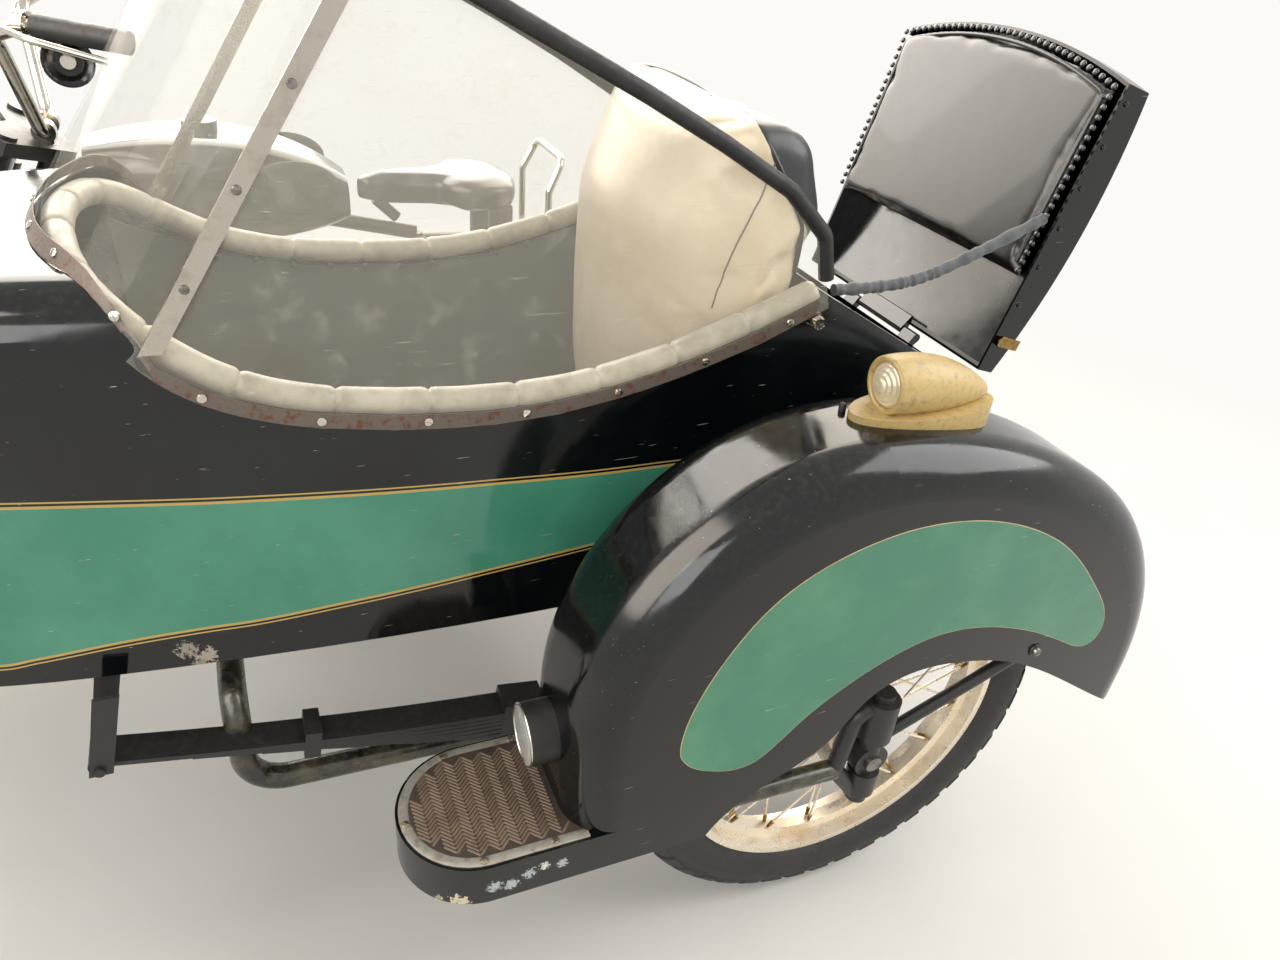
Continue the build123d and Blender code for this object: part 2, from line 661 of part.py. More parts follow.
# Exhaust pipe down the right side into a tapered silencer
with BuildPart() as exhaust:
    tube(
        [
            bike(CYLINDER_X + 84, -22, HEAD_BASE + 32),
            bike(CYLINDER_X + 150, -22, HEAD_BASE + 28),
            bike(CYLINDER_X + 190, -130, 420),
            bike(CYLINDER_X + 120, -140, 232),
            bike(150, -182, 250),
        ],
        20,
        50,
    )
    silencer_at = bike(150, -182, 250)
    spin = Axis(silencer_at, (-1, 0, 0))
    with BuildSketch(side_plane(silencer_at[1])) as shell:
        with BuildLine():
            Polyline(
                silencer_at[::2],
                (silencer_at[0], silencer_at[2] + 21),
                (silencer_at[0] - 90, silencer_at[2] + 42),
                (silencer_at[0] - 360, silencer_at[2] + 42),
                (silencer_at[0] - 450, silencer_at[2] + 14),
                (silencer_at[0] - 450, silencer_at[2]),
                close=True,
            )
        make_face()
    revolve(shell.sketch, axis=spin)
    cut_out(cylinder_head)
save(exhaust, "exhaust")

# Fuel tank: a long teardrop with a flat underside that straddles the top tube
TANK_FROM, TANK_TO = 585.0, 1010.0
TANK_LOW, TANK_HIGH = 716.0, 892.0
with BuildPart() as fuel_tank:
    # columns: X from the rear axle, half width, underside Z, top Z, corner radius
    for x, half, low, high, corner in (
        (TANK_FROM, 62, 735, 812, 34),
        (TANK_FROM + 110, 112, TANK_LOW, 868, 55),
        (TANK_FROM + 290, 122, TANK_LOW + 12, TANK_HIGH, 62),
        (TANK_TO, 74, 800, 874, 34),
    ):
        with BuildSketch(Plane(origin=bike(x, 0, (low + high) / 2), x_dir=(0, 1, 0), z_dir=(1, 0, 0))):
            RectangleRounded(2 * half, high - low, corner)
    loft()
    tunnel = [bike(SEAT_LUG[0], 0, SEAT_LUG[2]), (HEAD_HIGH[0], HEAD_HIGH[1], HEAD_HIGH[2])]
    with BuildSketch(side_plane(BIKE_Y + TUBE_R + 4)) as slot:
        with BuildLine():
            Polyline(
                (tunnel[0][0], tunnel[0][2] + TUBE_R + 1), (tunnel[1][0], tunnel[1][2] + TUBE_R + 1),
                (tunnel[1][0], 600), (tunnel[0][0], 600), close=True,
            )
        make_face()
    extrude(slot.sketch, amount=2 * TUBE_R + 8, mode=Mode.SUBTRACT)
    cap = bike(TANK_FROM + 240, 0, TANK_HIGH - 6)
    tube([cap, (cap[0], cap[1], cap[2] + 22)], 30)
save(fuel_tank, "fuel_tank")

# Sprung saddle: broad at the back, with a nose
with BuildPart() as saddle:
    with BuildSketch(Plane.XY.offset(760)) as pan:
        with BuildLine():
            Line(bike(545, 30, 0)[:2], bike(420, 62, 0)[:2])
            ThreePointArc(bike(420, 62, 0)[:2], bike(345, 118, 0)[:2], bike(270, 92, 0)[:2])
            ThreePointArc(bike(270, 92, 0)[:2], bike(250, 0, 0)[:2], bike(270, -92, 0)[:2])
            ThreePointArc(bike(270, -92, 0)[:2], bike(345, -118, 0)[:2], bike(420, -62, 0)[:2])
            Line(bike(420, -62, 0)[:2], bike(545, -30, 0)[:2])
            ThreePointArc(bike(545, -30, 0)[:2], bike(572, 0, 0)[:2], bike(545, 30, 0)[:2])
        make_face()
    extrude(pan.sketch, amount=48)
    fillet(saddle.faces().sort_by(Axis.Z)[-1].edges(), 16)
save(saddle, "saddle")

with BuildPart() as saddle_springs:
    for edge in (-1, 1):
        tube([bike(300, edge * 76, 646), bike(300, edge * 76, 760)], 24)
        tube([bike(300, edge * 76, 650), bike(330, edge * (PLUNGER_Y - 6), 642)], 7)
    tube([bike(490, 0, 722), bike(530, 0, 760)], 11)
    tube([bike(300, -76, 752), bike(300, 76, 752)], 7)
    cut_out(bike_frame, frame_stays, saddle)
save(saddle_springs, "saddle_springs")

with BuildPart() as grab_handle:
    hoop = [
        bike(206, 68, 618), bike(206, 92, 690), bike(206, 92, 790), bike(176, 84, 850), bike(176, -84, 850),
        bike(206, -92, 790), bike(206, -92, 690), bike(206, -68, 618),
    ]
    tube(hoop, 7, 24)
    cut_out(rear_mudguard)
save(grab_handle, "grab_handle")

# Drive chain on the left, as one closed run round both sprockets, and its guard
with BuildPart() as drive_chain:
    with BuildSketch(side_plane(BIKE_Y + CHAIN_Y + CHAIN_HALF)) as loop:
        with BuildSketch():
            with Locations((REAR_X, AXLE_Z)):
                Circle(CHAIN_REAR_R + CHAIN_HALF)
            with Locations((REAR_X + GEARBOX_X, GEARBOX_Z)):
                Circle(CHAIN_FRONT_R + CHAIN_HALF)
            make_hull()
        with BuildSketch(mode=Mode.SUBTRACT):
            with Locations((REAR_X, AXLE_Z)):
                Circle(CHAIN_REAR_R - CHAIN_HALF)
            with Locations((REAR_X + GEARBOX_X, GEARBOX_Z)):
                Circle(CHAIN_FRONT_R - CHAIN_HALF)
            make_hull()
    extrude(loop.sketch, amount=2 * CHAIN_HALF)
    cut_out(engine_case)
save(drive_chain, "drive_chain")

# Chassis of the sidecar. Points are given from the sidecar wheel's foot
SIDE_TUBE_R = 17.0
SIDE_TUBE_Y = -168.0
SIDE_TUBE_Z = 262.0
FAR_TUBE_Y = -718.0
REAR_TUBE_X = -190.0
STANCHION_X = 790.0
STANCHION_Y = SIDE_TUBE_Y - 22.0
STANCHION_TOP = 410.0
CROSS_Z = 300.0
HUB_REACH = 74.0
KNUCKLE_Y = 82.0
KNUCKLE_NUT_R = 12.0
KNUCKLE_OUT = KNUCKLE_Y + 12.0
with BuildPart() as sidecar_frame:
    # near side tube, up the stanchion and across under the nose to the far side tube
    tube(
        [
            chair(REAR_TUBE_X, SIDE_TUBE_Y, SIDE_TUBE_Z),
            chair(STANCHION_X, STANCHION_Y, SIDE_TUBE_Z),
            chair(STANCHION_X, STANCHION_Y, STANCHION_TOP),
            chair(STANCHION_X, FAR_TUBE_Y, STANCHION_TOP),
            chair(STANCHION_X, FAR_TUBE_Y, CROSS_Z),
            chair(REAR_TUBE_X, FAR_TUBE_Y, CROSS_Z),
        ],
        SIDE_TUBE_R,
        52,
    )
    tube([chair(REAR_TUBE_X, SIDE_TUBE_Y, SIDE_TUBE_Z), chair(REAR_TUBE_X, FAR_TUBE_Y, CROSS_Z)], SIDE_TUBE_R)
    # cross tube from the wheel's inner knuckle to the motorcycle's rear lug
    tube([chair(0, -HUB_REACH - 18, AXLE_Z - 34), chair(60, FAR_TUBE_Y, CROSS_Z)], SIDE_TUBE_R)
    disc(CHAIR_X, CHAIR_Y - HUB_REACH - 28, CHAIR_Y - HUB_REACH, AXLE_Z, 30)
    # posts from the cross tube that carry the body's floor pan
    for post_x, post_y in ((18, -BODY_OFFSET + 150), (46, -BODY_OFFSET - 150)):
        tube([chair(post_x, post_y, CROSS_Z), chair(post_x, post_y, FLOOR_Z)], SIDE_TUBE_R - 2)
    # loop round the front of the wheel to the outer knuckle
    tube(
        [
            chair(386, SIDE_TUBE_Y, SIDE_TUBE_Z), chair(386, KNUCKLE_Y, AXLE_Z),
            chair(52, KNUCKLE_Y, AXLE_Z - 8),
        ],
        14,
        46,
    )
    disc(CHAIR_X, CHAIR_Y - 2 * HUB_REACH, CHAIR_Y - HUB_REACH + 10, AXLE_Z, AXLE_R + AXLE_FIT, Mode.SUBTRACT)
save(sidecar_frame, "sidecar_frame")

# Outer wheel support: a forged fork round a sprung plunger, and the stay to the mudguard
with BuildPart() as wheel_support:
    fork_root = chair(52, KNUCKLE_Y, AXLE_Z - 8)
    tube([fork_root, chair(6, KNUCKLE_Y, 262), chair(0, KNUCKLE_Y, 258)], 12, 10)
    tube([fork_root, chair(40, KNUCKLE_Y, 420), chair(4, KNUCKLE_Y, 430)], 12, 20)
    # plunger rod, upper bellows and lower bellows. Columns: low Z, high Z, radius
    for low_z, high_z, radius in ((250, 452, 15), (372, 440, 24), (268, 308, 22)):
        tube([chair(0, KNUCKLE_Y, low_z), chair(0, KNUCKLE_Y, high_z)], radius)
    disc(CHAIR_X, CHAIR_Y + KNUCKLE_Y - 16, CHAIR_Y + KNUCKLE_OUT, AXLE_Z, 26)
    tube([chair(0, KNUCKLE_Y, AXLE_Z + 28), chair(-238, KNUCKLE_Y + 2, 470)], 9)
    disc(CHAIR_X, CHAIR_Y, CHAIR_Y + 2 * KNUCKLE_Y, AXLE_Z, AXLE_R + AXLE_FIT, Mode.SUBTRACT)
    nut_space = KNUCKLE_NUT_R + SOFT_GAP
    disc(CHAIR_X, CHAIR_Y + KNUCKLE_OUT, CHAIR_Y + 2 * KNUCKLE_Y, AXLE_Z, nut_space, Mode.SUBTRACT)
    cut_out(sidecar_frame)
save(wheel_support, "wheel_support")

with BuildPart() as sidecar_axle:
    disc(CHAIR_X, CHAIR_Y - HUB_REACH - 34, CHAIR_Y + KNUCKLE_OUT + 2, AXLE_Z, AXLE_R)
    disc(CHAIR_X, CHAIR_Y - HUB_REACH - 42, CHAIR_Y - HUB_REACH - 28 - FACE_GAP, AXLE_Z, AXLE_NUT_R)
    disc(CHAIR_X, CHAIR_Y + KNUCKLE_OUT + FACE_GAP, CHAIR_Y + SKIRT_REACH, AXLE_Z, KNUCKLE_NUT_R)
save(sidecar_axle, "sidecar_axle")

# Struts from the sidecar's far side tube to the motorcycle
STRUT_R = 12.0
STRUT_FOOT_Y = FAR_TUBE_Y - SIDE_TUBE_R
with BuildPart() as sidecar_struts:
    # columns: foot on the far side tube, lug on the motorcycle
    for foot, lug in (
        (chair(60, STRUT_FOOT_Y, CROSS_Z), bike(150, PLUNGER_Y + 10, PLUNGER_LOW + 20)),
        (chair(300, STRUT_FOOT_Y, CROSS_Z), bike(SEAT_LUG[0] + 6, TUBE_R + 6, SEAT_LUG[2] - 60)),
        (chair(STANCHION_X - 70, STRUT_FOOT_Y, CROSS_Z), bike(905, CRADLE_Y + TUBE_R, 250)),
        (chair(STANCHION_X - 20, STRUT_FOOT_Y, CROSS_Z + 40), bike(1030, 44, 600)),
    ):
        tube([foot, lug], STRUT_R)
    cut_out(sidecar_frame, bike_frame, frame_stays, frame_cradle)
save(sidecar_struts, "sidecar_struts")

# Quarter-elliptic leaf springs under each side of the body, their tips to the front
SPRING_Y = 170.0
LEAF_W = 44.0
LEAF_T = 6.5
LEAVES = 6
SHACKLE_PIN_R = 6.0
STRAP_T = 5.0
SPRING_ROOT = (398.0, 322.0)
SPRING_EYE = (940.0, 398.0)
SPRING_RUN = hypot(SPRING_EYE[0] - SPRING_ROOT[0], SPRING_EYE[1] - SPRING_ROOT[1])
SPRING_RISE = degrees(atan2(SPRING_EYE[1] - SPRING_ROOT[1], SPRING_EYE[0] - SPRING_ROOT[0]))
SPRING_SAG = 9.0
SPRING_PIN_Z = SPRING_EYE[1] - 6.0
BODY_FAR_Y = -2 * BODY_OFFSET
with BuildPart() as leaf_springs:
    for spring_y in (-SPRING_Y, BODY_FAR_Y + SPRING_Y + 30):
        at = Plane(
            origin=chair(SPRING_ROOT[0], spring_y + LEAF_W / 2, SPRING_ROOT[1]),
            x_dir=(cos(radians(SPRING_RISE)), 0, sin(radians(SPRING_RISE))),
            z_dir=(0, -1, 0),
        )
        for i in range(LEAVES):
            reach = SPRING_RUN * (1.0 - 0.145 * i) - (8 if i == 0 else 20)
            top = -i * LEAF_T
            under = top - LEAF_T
            with BuildSketch(at) as leaf:
                with BuildLine():
                    low = ThreePointArc((0, under), (reach / 2, under - SPRING_SAG), (reach, under))
                    high = ThreePointArc((0, top), (reach / 2, top - SPRING_SAG), (reach, top))
                    Line(low @ 0, high @ 0)
                    Line(low @ 1, high @ 1)
                make_face()
            extrude(leaf.sketch, amount=LEAF_W)
        # rolled eye, clamp band and root block
        eye_x, eye_y, _ = chair(SPRING_EYE[0], spring_y, 0)
        disc(eye_x, eye_y - LEAF_W / 2, eye_y + LEAF_W / 2, SPRING_PIN_Z, 13)
        with BuildSketch(at) as band:
            with Locations((SPRING_RUN * 0.56, -17)):
                Rectangle(20, 42)
            with Locations((22, -18)):
                Rectangle(60, 52)
        extrude(band.sketch, amount=LEAF_W + 3)
        disc(eye_x, eye_y - LEAF_W, eye_y + LEAF_W, SPRING_PIN_Z, SHACKLE_PIN_R + AXLE_FIT, Mode.SUBTRACT)
    cut_out(sidecar_frame)
save(leaf_springs, "leaf_springs")

# Straps that hang the body on the springs' eyes, with their pins
with BuildPart() as spring_shackles:
    for spring_y in (-SPRING_Y, BODY_FAR_Y + SPRING_Y + 30):
        for edge in (-1, 1):
            outer_y = CHAIR_Y + spring_y + edge * (LEAF_W / 2 + 4) + STRAP_T / 2
            with BuildSketch(side_plane(outer_y)) as strap:
                with BuildLine():
                    Polyline(
                        chair(SPRING_EYE[0] - 13, 0, SPRING_EYE[1] - 14)[::2],
                        chair(SPRING_EYE[0] + 13, 0, SPRING_EYE[1] - 14)[::2],
                        chair(SPRING_EYE[0] - 12, 0, CHINE_Z)[::2],
                        chair(SPRING_EYE[0] - 40, 0, CHINE_Z)[::2],
                        close=True,
                    )
                make_face()
            extrude(strap.sketch, amount=STRAP_T)
        pin_x, pin_y, _ = chair(SPRING_EYE[0], spring_y, 0)
        disc(pin_x, pin_y - LEAF_W / 2 - 11, pin_y + LEAF_W / 2 + 11, SPRING_PIN_Z, SHACKLE_PIN_R)
save(spring_shackles, "spring_shackles")


def body(x, y, z):
    """A point given from below the sidecar wheel's centre, in the body's middle plane."""
    return (CHAIR_X + x, BODY_Y + y, z)


# The body's side in plan is one arc through the tail, the middle and the scuttle
SIDE_MID_X = 330.0


def body_half(x):
    """Half the body's width at x, on the arc through the tail, middle and scuttle."""
    (x1, y1), (x2, y2), (x3, y3) = (
        (TAIL_X, BODY_TAIL_HALF), (SIDE_MID_X, BODY_HALF), (SCUTTLE_X - 30, BODY_SCUTTLE_HALF)
    )
    d = 2 * (x1 * (y2 - y3) + x2 * (y3 - y1) + x3 * (y1 - y2))
    s1, s2, s3 = x1 * x1 + y1 * y1, x2 * x2 + y2 * y2, x3 * x3 + y3 * y3
    cx = (s1 * (y2 - y3) + s2 * (y3 - y1) + s3 * (y1 - y2)) / d
    cy = (s1 * (x3 - x2) + s2 * (x1 - x3) + s3 * (x2 - x1)) / d
    return cy + sqrt((x1 - cx) ** 2 + (y1 - cy) ** 2 - (x - cx) ** 2)


def body_form(inset):
    """The closed hull of the body, every side of it moved in by inset."""
    tail_x = TAIL_X + inset
    nose_x = NOSE_X - inset
    half = BODY_HALF - inset
    nose_half = BODY_NOSE_HALF - inset
    tail_half = BODY_TAIL_HALF - inset
    scuttle_half = BODY_SCUTTLE_HALF - inset
    top_z = SCUTTLE_Z - inset
    low_z = CHINE_Z + inset
    with BuildPart() as form:
        with BuildSketch(Plane.XY.offset(low_z)) as plan:
            for edge in (1, -1):
                with BuildLine() as outline:
                    side = ThreePointArc(
                        body(tail_x, edge * tail_half, 0)[:2],
                        body(SIDE_MID_X, edge * half, 0)[:2],
                        body(SCUTTLE_X, edge * scuttle_half, 0)[:2],
                    )
                    bow = TangentArc(
                        side @ 1, body(nose_x - NOSE_ROUND, edge * nose_half, 0)[:2], tangent=side % 1
                    )
                    tip = ThreePointArc(
                        bow @ 1,
                        body(nose_x - NOSE_ROUND / 4, edge * nose_half * 0.6, 0)[:2],
                        body(nose_x, 0, 0)[:2],
                    )
                    Polyline(tip @ 1, body(tail_x, 0, 0)[:2], side @ 0)
                make_face(outline.edges())
        extrude(plan.sketch, amount=top_z - low_z)
        with BuildSketch(side_plane(BODY_Y + BODY_HALF + 20)) as side:
            with BuildLine():
                top = Line(body(SHEER_REAR_X, 0, top_z)[::2], body(SCUTTLE_X, 0, top_z)[::2])
                bonnet = TangentArc(top @ 1, body(nose_x - BONNET_ROUND, 0, BONNET_Z)[::2], tangent=(1, 0))
                keel = TangentArc(
                    body(SCUTTLE_X + 150, 0, low_z)[::2], body(nose_x - BONNET_ROUND, 0, KEEL_Z)[::2],
                    tangent=(1, 0),
                )
                RadiusArc(keel @ 1, bonnet @ 1, -(BONNET_Z - KEEL_Z) * 0.9)
                Polyline(
                    top @ 0,
                    body(SHEER_REAR_X, 0, SHEER_REAR_Z - inset)[::2],
                    body(tail_x, 0, HINGE_Z - inset)[::2],
                    body(tail_x + 96, 0, low_z)[::2],
                    keel @ 0,
                )
            make_face()
        extrude(side.sketch, amount=2 * BODY_HALF + 40, mode=Mode.INTERSECT)
        shoulder = [
            e for e in form.edges()
            if e.center().X > CHAIR_X + SHEER_REAR_X and e.center().Z > BONNET_Z
            and abs(e.center().Y - BODY_Y) > nose_half and e.length > SHOULDER_R
            and abs((e % 0.5).Z) < 0.9
        ]
        fillet(shoulder, SHOULDER_R - inset)
    return form.part


BODY_OUTER = body_form(0)
BODY_INNER = body_form(BODY_WALL)

# Screen outline in plan, on a plane below the sheer; the screen leans back from it along one direction
SCREEN_BASE_Z = 792.0
SCREEN_DIR = (-sin(radians(SCREEN_LEAN)), 0.0, cos(radians(SCREEN_LEAN)))
SCREEN_SHIFT = tan(radians(SCREEN_LEAN))
SCREEN_TURN_X = 866.0
SCREEN_FRONT_X = 1017.0
SCREEN_NOSE = SCREEN_FRONT_X - SCREEN_TURN_X


def screen_half(x):
    """Half the screen's width at x on its base plane: along the sides, then round the front."""
    if x > SCREEN_TURN_X:
        turn = (x - SCREEN_TURN_X) / SCREEN_NOSE
        return body_half(SCREEN_TURN_X - 62) * sqrt(max(0.0, 1 - turn * turn))
    return max(body_half(x), body_half(x - 62))


def screen_face(grow):
    """The area inside the screen on its base plane, its sides moved out by grow."""
    stations = (10, 160, 330, 500, 660, 790, 866, 915, 955, 985, 1004, 1013)
    with BuildSketch(Plane.XY.offset(SCREEN_BASE_Z)) as area:
        with BuildLine():
            left = [
                body(x + grow * max(0.0, (x - SCREEN_TURN_X) / SCREEN_NOSE), screen_half(x) + grow, 0)[:2]
                for x in stations
            ]
            right = [(x, 2 * BODY_Y - y) for x, y in reversed(left)]
            bend = Spline(*left, body(SCREEN_FRONT_X + grow, 0, 0)[:2], *right)
            Line(bend @ 1, bend @ 0)
        make_face()
    return area.sketch


# Sheer line in side view. Columns: X from the sidecar wheel, Z
SHEER = (
    (SHEER_REAR_X, SHEER_REAR_Z),
    (198, 852),
    (SHEER_LOW_X, SHEER_LOW_Z),
    (620, 817),
    (751, 851),
    (835, 922),
)


def sheer_region(drop, top):
    """The side view's area above the sheer line lowered by drop, up to top."""
    with BuildSketch(side_plane(BODY_Y + 2 * BODY_HALF)) as region:
        with BuildLine():
            line = Spline(*[body(x, 0, z - drop)[::2] for x, z in SHEER])
            Polyline(
                line @ 1, body(1200, 0, SHEER[-1][1] - drop)[::2], body(1200, 0, top)[::2],
                body(SHEER_REAR_X, 0, top)[::2], line @ 0,
            )
        make_face()
    return region.sketch


with BuildPart() as cockpit_space:
    extrude(screen_face(4.0), amount=700, dir=SCREEN_DIR)
    extrude(sheer_region(0, 1500), amount=4 * BODY_HALF, mode=Mode.INTERSECT)

with BuildPart() as bulkhead:
    add(BODY_INNER)
    with Locations(body(SHEER_REAR_X - 20, 0, 800)):
        Box(BODY_WALL, 3 * BODY_HALF, 1000, mode=Mode.INTERSECT)

HINGE_AXIS_X = TAIL_X - 9.0
HINGE_AXIS_Z = HINGE_Z + 9.0
HINGE_PIN_R = 3.0
KNUCKLE_R = 7.0
with BuildPart() as sidecar_body:
    add(BODY_OUTER)
    add(BODY_INNER, mode=Mode.SUBTRACT)
    add(bulkhead.part)
    cut_out(cockpit_space)
    # luggage opening in the sloping deck
    with BuildSketch(Plane.XY.offset(HINGE_Z - 30)) as luggage:
        with Locations(body((TAIL_X + SHEER_REAR_X) / 2 - 8, 0, 0)[:2]):
            Rectangle(SHEER_REAR_X - TAIL_X - 46, 2 * BODY_TAIL_HALF - 30)
    extrude(luggage.sketch, amount=300, mode=Mode.SUBTRACT)
    # deeper floor pan under the seat and the feet
    with BuildSketch(Plane.XY.offset(CHINE_Z + 1)) as pan:
        with Locations(body(430, 0, 0)[:2]):
            RectangleRounded(1080, 2 * BODY_TAIL_HALF - 90, 60)
    extrude(pan.sketch, amount=FLOOR_Z - CHINE_Z - 1, taper=30)
    with BuildSketch(Plane.XY.offset(CHINE_Z + BODY_WALL + 1)) as well:
        with Locations(body(430, 0, 0)[:2]):
            RectangleRounded(1080 - 2 * BODY_WALL, 2 * BODY_TAIL_HALF - 90 - 2 * BODY_WALL, 54)
    extrude(well.sketch, amount=FLOOR_Z - CHINE_Z, taper=30, mode=Mode.SUBTRACT)
    # fixed knuckles of the lid's hinge, and its pin
    for edge in (-1, 1):
        with BuildSketch(side_plane(BODY_Y + edge * 80 + 15)) as arm:
            with Locations(body(HINGE_AXIS_X, 0, HINGE_AXIS_Z)[::2]):
                Circle(KNUCKLE_R)
            with Locations(body(TAIL_X + 12, 0, HINGE_Z - 14)[::2]):
                Circle(4)
            make_hull()
        extrude(arm.sketch, amount=30)
    disc(CHAIR_X + HINGE_AXIS_X, BODY_Y - 80, BODY_Y + 80, HINGE_AXIS_Z, HINGE_PIN_R)
save(sidecar_body, "sidecar_body")

# Padded roll round the cockpit's edge, lying just inside the skin
# Columns along the sides: X, Z; round the front: X, half width, Z
ROLL_SIDE = (
    (SHEER_REAR_X + 8, SHEER_REAR_Z + 2),
    (198, 856),
    (330, 821),
    (SHEER_LOW_X, SHEER_LOW_Z + 4),
    (620, 821),
    (720, 844),
)
ROLL_FRONT = ((800, 225, 892), (848, 190, 932), (876, 118, 952))
ROLL_NOSE = (889, 0, 962)
with BuildPart() as cockpit_coaming:
    near = [(x, body_half(x) - ROLL_R - 1.5, z) for x, z in ROLL_SIDE] + [*ROLL_FRONT]
    far = [(x, -y, z) for x, y, z in reversed(near)]
    tube([body(*point) for point in (*near, ROLL_NOSE, *far)], ROLL_R, 40)
    cut_out(sidecar_body)
save(cockpit_coaming, "cockpit_coaming")

# Rail round the screen's rear and top edge. Columns: X, half width where it isn't the screen's own, Z
SCREEN_TOP = 1305.0
RAIL_OUT = 2.5
RAIL = (
    (54, None, 937),
    (68, None, 991),
    (126, None, 1046),
    (215, None, 1097),
    (307, None, 1145),
    (471, None, 1224),
    (577, None, 1275),
    (634, 190, SCREEN_TOP - 11),
    (672, 100, SCREEN_TOP - 2),
)
with BuildPart() as screen_rail:
    near = []
    for x, half, z in RAIL:
        at = screen_half(x + (z - SCREEN_BASE_Z) * SCREEN_SHIFT)
        near.append((x, (half or at) + RAIL_OUT, z))
    brow = (SCREEN_FRONT_X - (SCREEN_TOP - SCREEN_BASE_Z) * SCREEN_SHIFT + RAIL_OUT, 0, SCREEN_TOP)
    far = [(x, -y, z) for x, y, z in reversed(near)]
    tube([body(*point) for point in (*near, brow, *far)], RAIL_R, 24)
save(screen_rail, "screen_rail")

# The pane stands in the rail, so its upper edge in side view follows the rail's middle line
PANE_DROP = 14.0
SCREEN_SPAN = 700.0
with BuildPart() as windscreen:
    extrude(screen_face(SCREEN_T + 0.5), amount=SCREEN_SPAN, dir=SCREEN_DIR)
    extrude(screen_face(0.5), amount=SCREEN_SPAN, dir=SCREEN_DIR, mode=Mode.SUBTRACT)
    with BuildSketch(side_plane(BODY_Y + 2 * BODY_HALF)) as pane:
        with BuildLine():
            rail_line = [(x, z - 1) for x, _, z in RAIL[:-2]] + [(640, SCREEN_TOP - 12), (709, SCREEN_TOP - 2)]
            edge_low = Spline(*[body(x, 0, z - PANE_DROP)[::2] for x, z in SHEER])
            edge_high = Polyline(*[body(x, 0, z)[::2] for x, z in rail_line])
            Line(edge_high @ 0, edge_low @ 0)
            Polyline(
                edge_low @ 1,
                body(SCREEN_FRONT_X + 80, 0, SHEER[-1][1] - PANE_DROP)[::2],
                body(SCREEN_FRONT_X + 80, 0, SCREEN_TOP - 2)[::2],
                edge_high @ 1,
            )
        make_face()
    extrude(pane.sketch, amount=4 * BODY_HALF, mode=Mode.INTERSECT)
    add(BODY_OUTER, mode=Mode.SUBTRACT)
    cut_out(screen_rail)
save(windscreen, "windscreen")

# Flat ribs outside the screen, one on each side
RIB_W = 22.0
RIB_T = 5.0
RIB_LOW = 901.0
RIB_HIGH = 1251.0
with BuildPart() as screen_ribs:
    for edge in (-1, 1):
        rib_y = edge * (screen_half(SCREEN_TURN_X) + SCREEN_T + 2)
        with BuildSketch(Plane.XY.offset(SCREEN_BASE_Z)) as strip:
            with Locations(body(SCREEN_TURN_X + 4, rib_y, 0)[:2]):
                Rectangle(RIB_W, RIB_T)
        extrude(strip.sketch, amount=SCREEN_SPAN, dir=SCREEN_DIR)
    with Locations(body(SCREEN_TURN_X, 0, (RIB_LOW + RIB_HIGH) / 2)):
        Box(SCREEN_SPAN, 3 * BODY_HALF, RIB_HIGH - RIB_LOW, mode=Mode.INTERSECT)
    extrude(screen_face(SCREEN_T + 0.5), amount=SCREEN_SPAN, dir=SCREEN_DIR, mode=Mode.SUBTRACT)
    add(BODY_OUTER, mode=Mode.SUBTRACT)
save(screen_ribs, "screen_ribs")

# Seat: a deep domed back that overhangs the luggage deck, and a cushion on the floor
SEAT_HALF = BODY_HALF - 48.0
CUSHION_HALF = BODY_TAIL_HALF - 30.0
CUSHION_T = 100.0
with BuildPart() as seat_back:
    with BuildSketch(side_plane(BODY_Y + SEAT_HALF)) as side:
        # columns: X from the sidecar wheel, Z, corner radius
        for x, z, corner in (
            (62, 626, 6), (78, 990, 60), (100, 1046, 62), (150, 1030, 78), (176, 940, 100), (260, 626, 6)
        ):
            with Locations(body(x, 0, z)[::2]):
                Circle(corner)
        make_hull()
    extrude(side.sketch, amount=2 * SEAT_HALF)
    ends = [f for f in seat_back.faces() if abs(f.normal_at().Y) > 0.9]
    fillet([e for f in ends for e in f.edges() if e.center().Z > 640], 42)
    cut_out(sidecar_body)
save(seat_back, "seat_back")

with BuildPart() as seat_cushion:
    with Locations(body(470, 0, CHINE_Z + BODY_WALL + CUSHION_T / 2 + SOFT_GAP)):
        Box(390, 2 * CUSHION_HALF, CUSHION_T)
    fillet(seat_cushion.faces().sort_by(Axis.Z)[-1].edges(), 30)
save(seat_cushion, "seat_cushion")


def guard_form(inset):
    """The filled shape of the sidecar's mudguard, its outside moved in by inset."""
    low = BOARD_TOP - BOARD_DEPTH

    def rim(x, z):
        """A side-view point on the guard's outline, drawn towards the axle by inset."""
        reach = hypot(x, z - AXLE_Z)
        return chair(x * (1 - inset / reach), 0, AXLE_Z + (z - AXLE_Z) * (1 - inset / reach))[::2]

    front = chair(GUARD_FRONT - inset, 0, 0)[0]
    with BuildPart() as form:
        with BuildSketch(side_plane(CHAIR_Y + SKIRT_REACH - inset)) as profile:
            with BuildLine():
                rise = TangentArc((front, 470), rim(79, 827), tangent=(0, 1))
                crown = TangentArc(rise @ 1, rim(-300, 712), tangent=rise % 1)
                fall = TangentArc(crown @ 1, rim(-470, 380), tangent=crown % 1)
                end = fall @ 1 + (fall % 1) * (((fall @ 1).Y - low) / abs((fall % 1).Y))
                Polyline(fall @ 1, end, (front, low), (front, 470))
            make_face()
        extrude(profile.sketch, amount=SKIRT_REACH + GUARD_IN - 2 * inset)
        rounded = [e for e in form.edges() if abs((e % 0.5).Y) < 0.1 and e.center().Z > low + 1]
        fillet(rounded, GUARD_ROUND - inset)
    return form.part


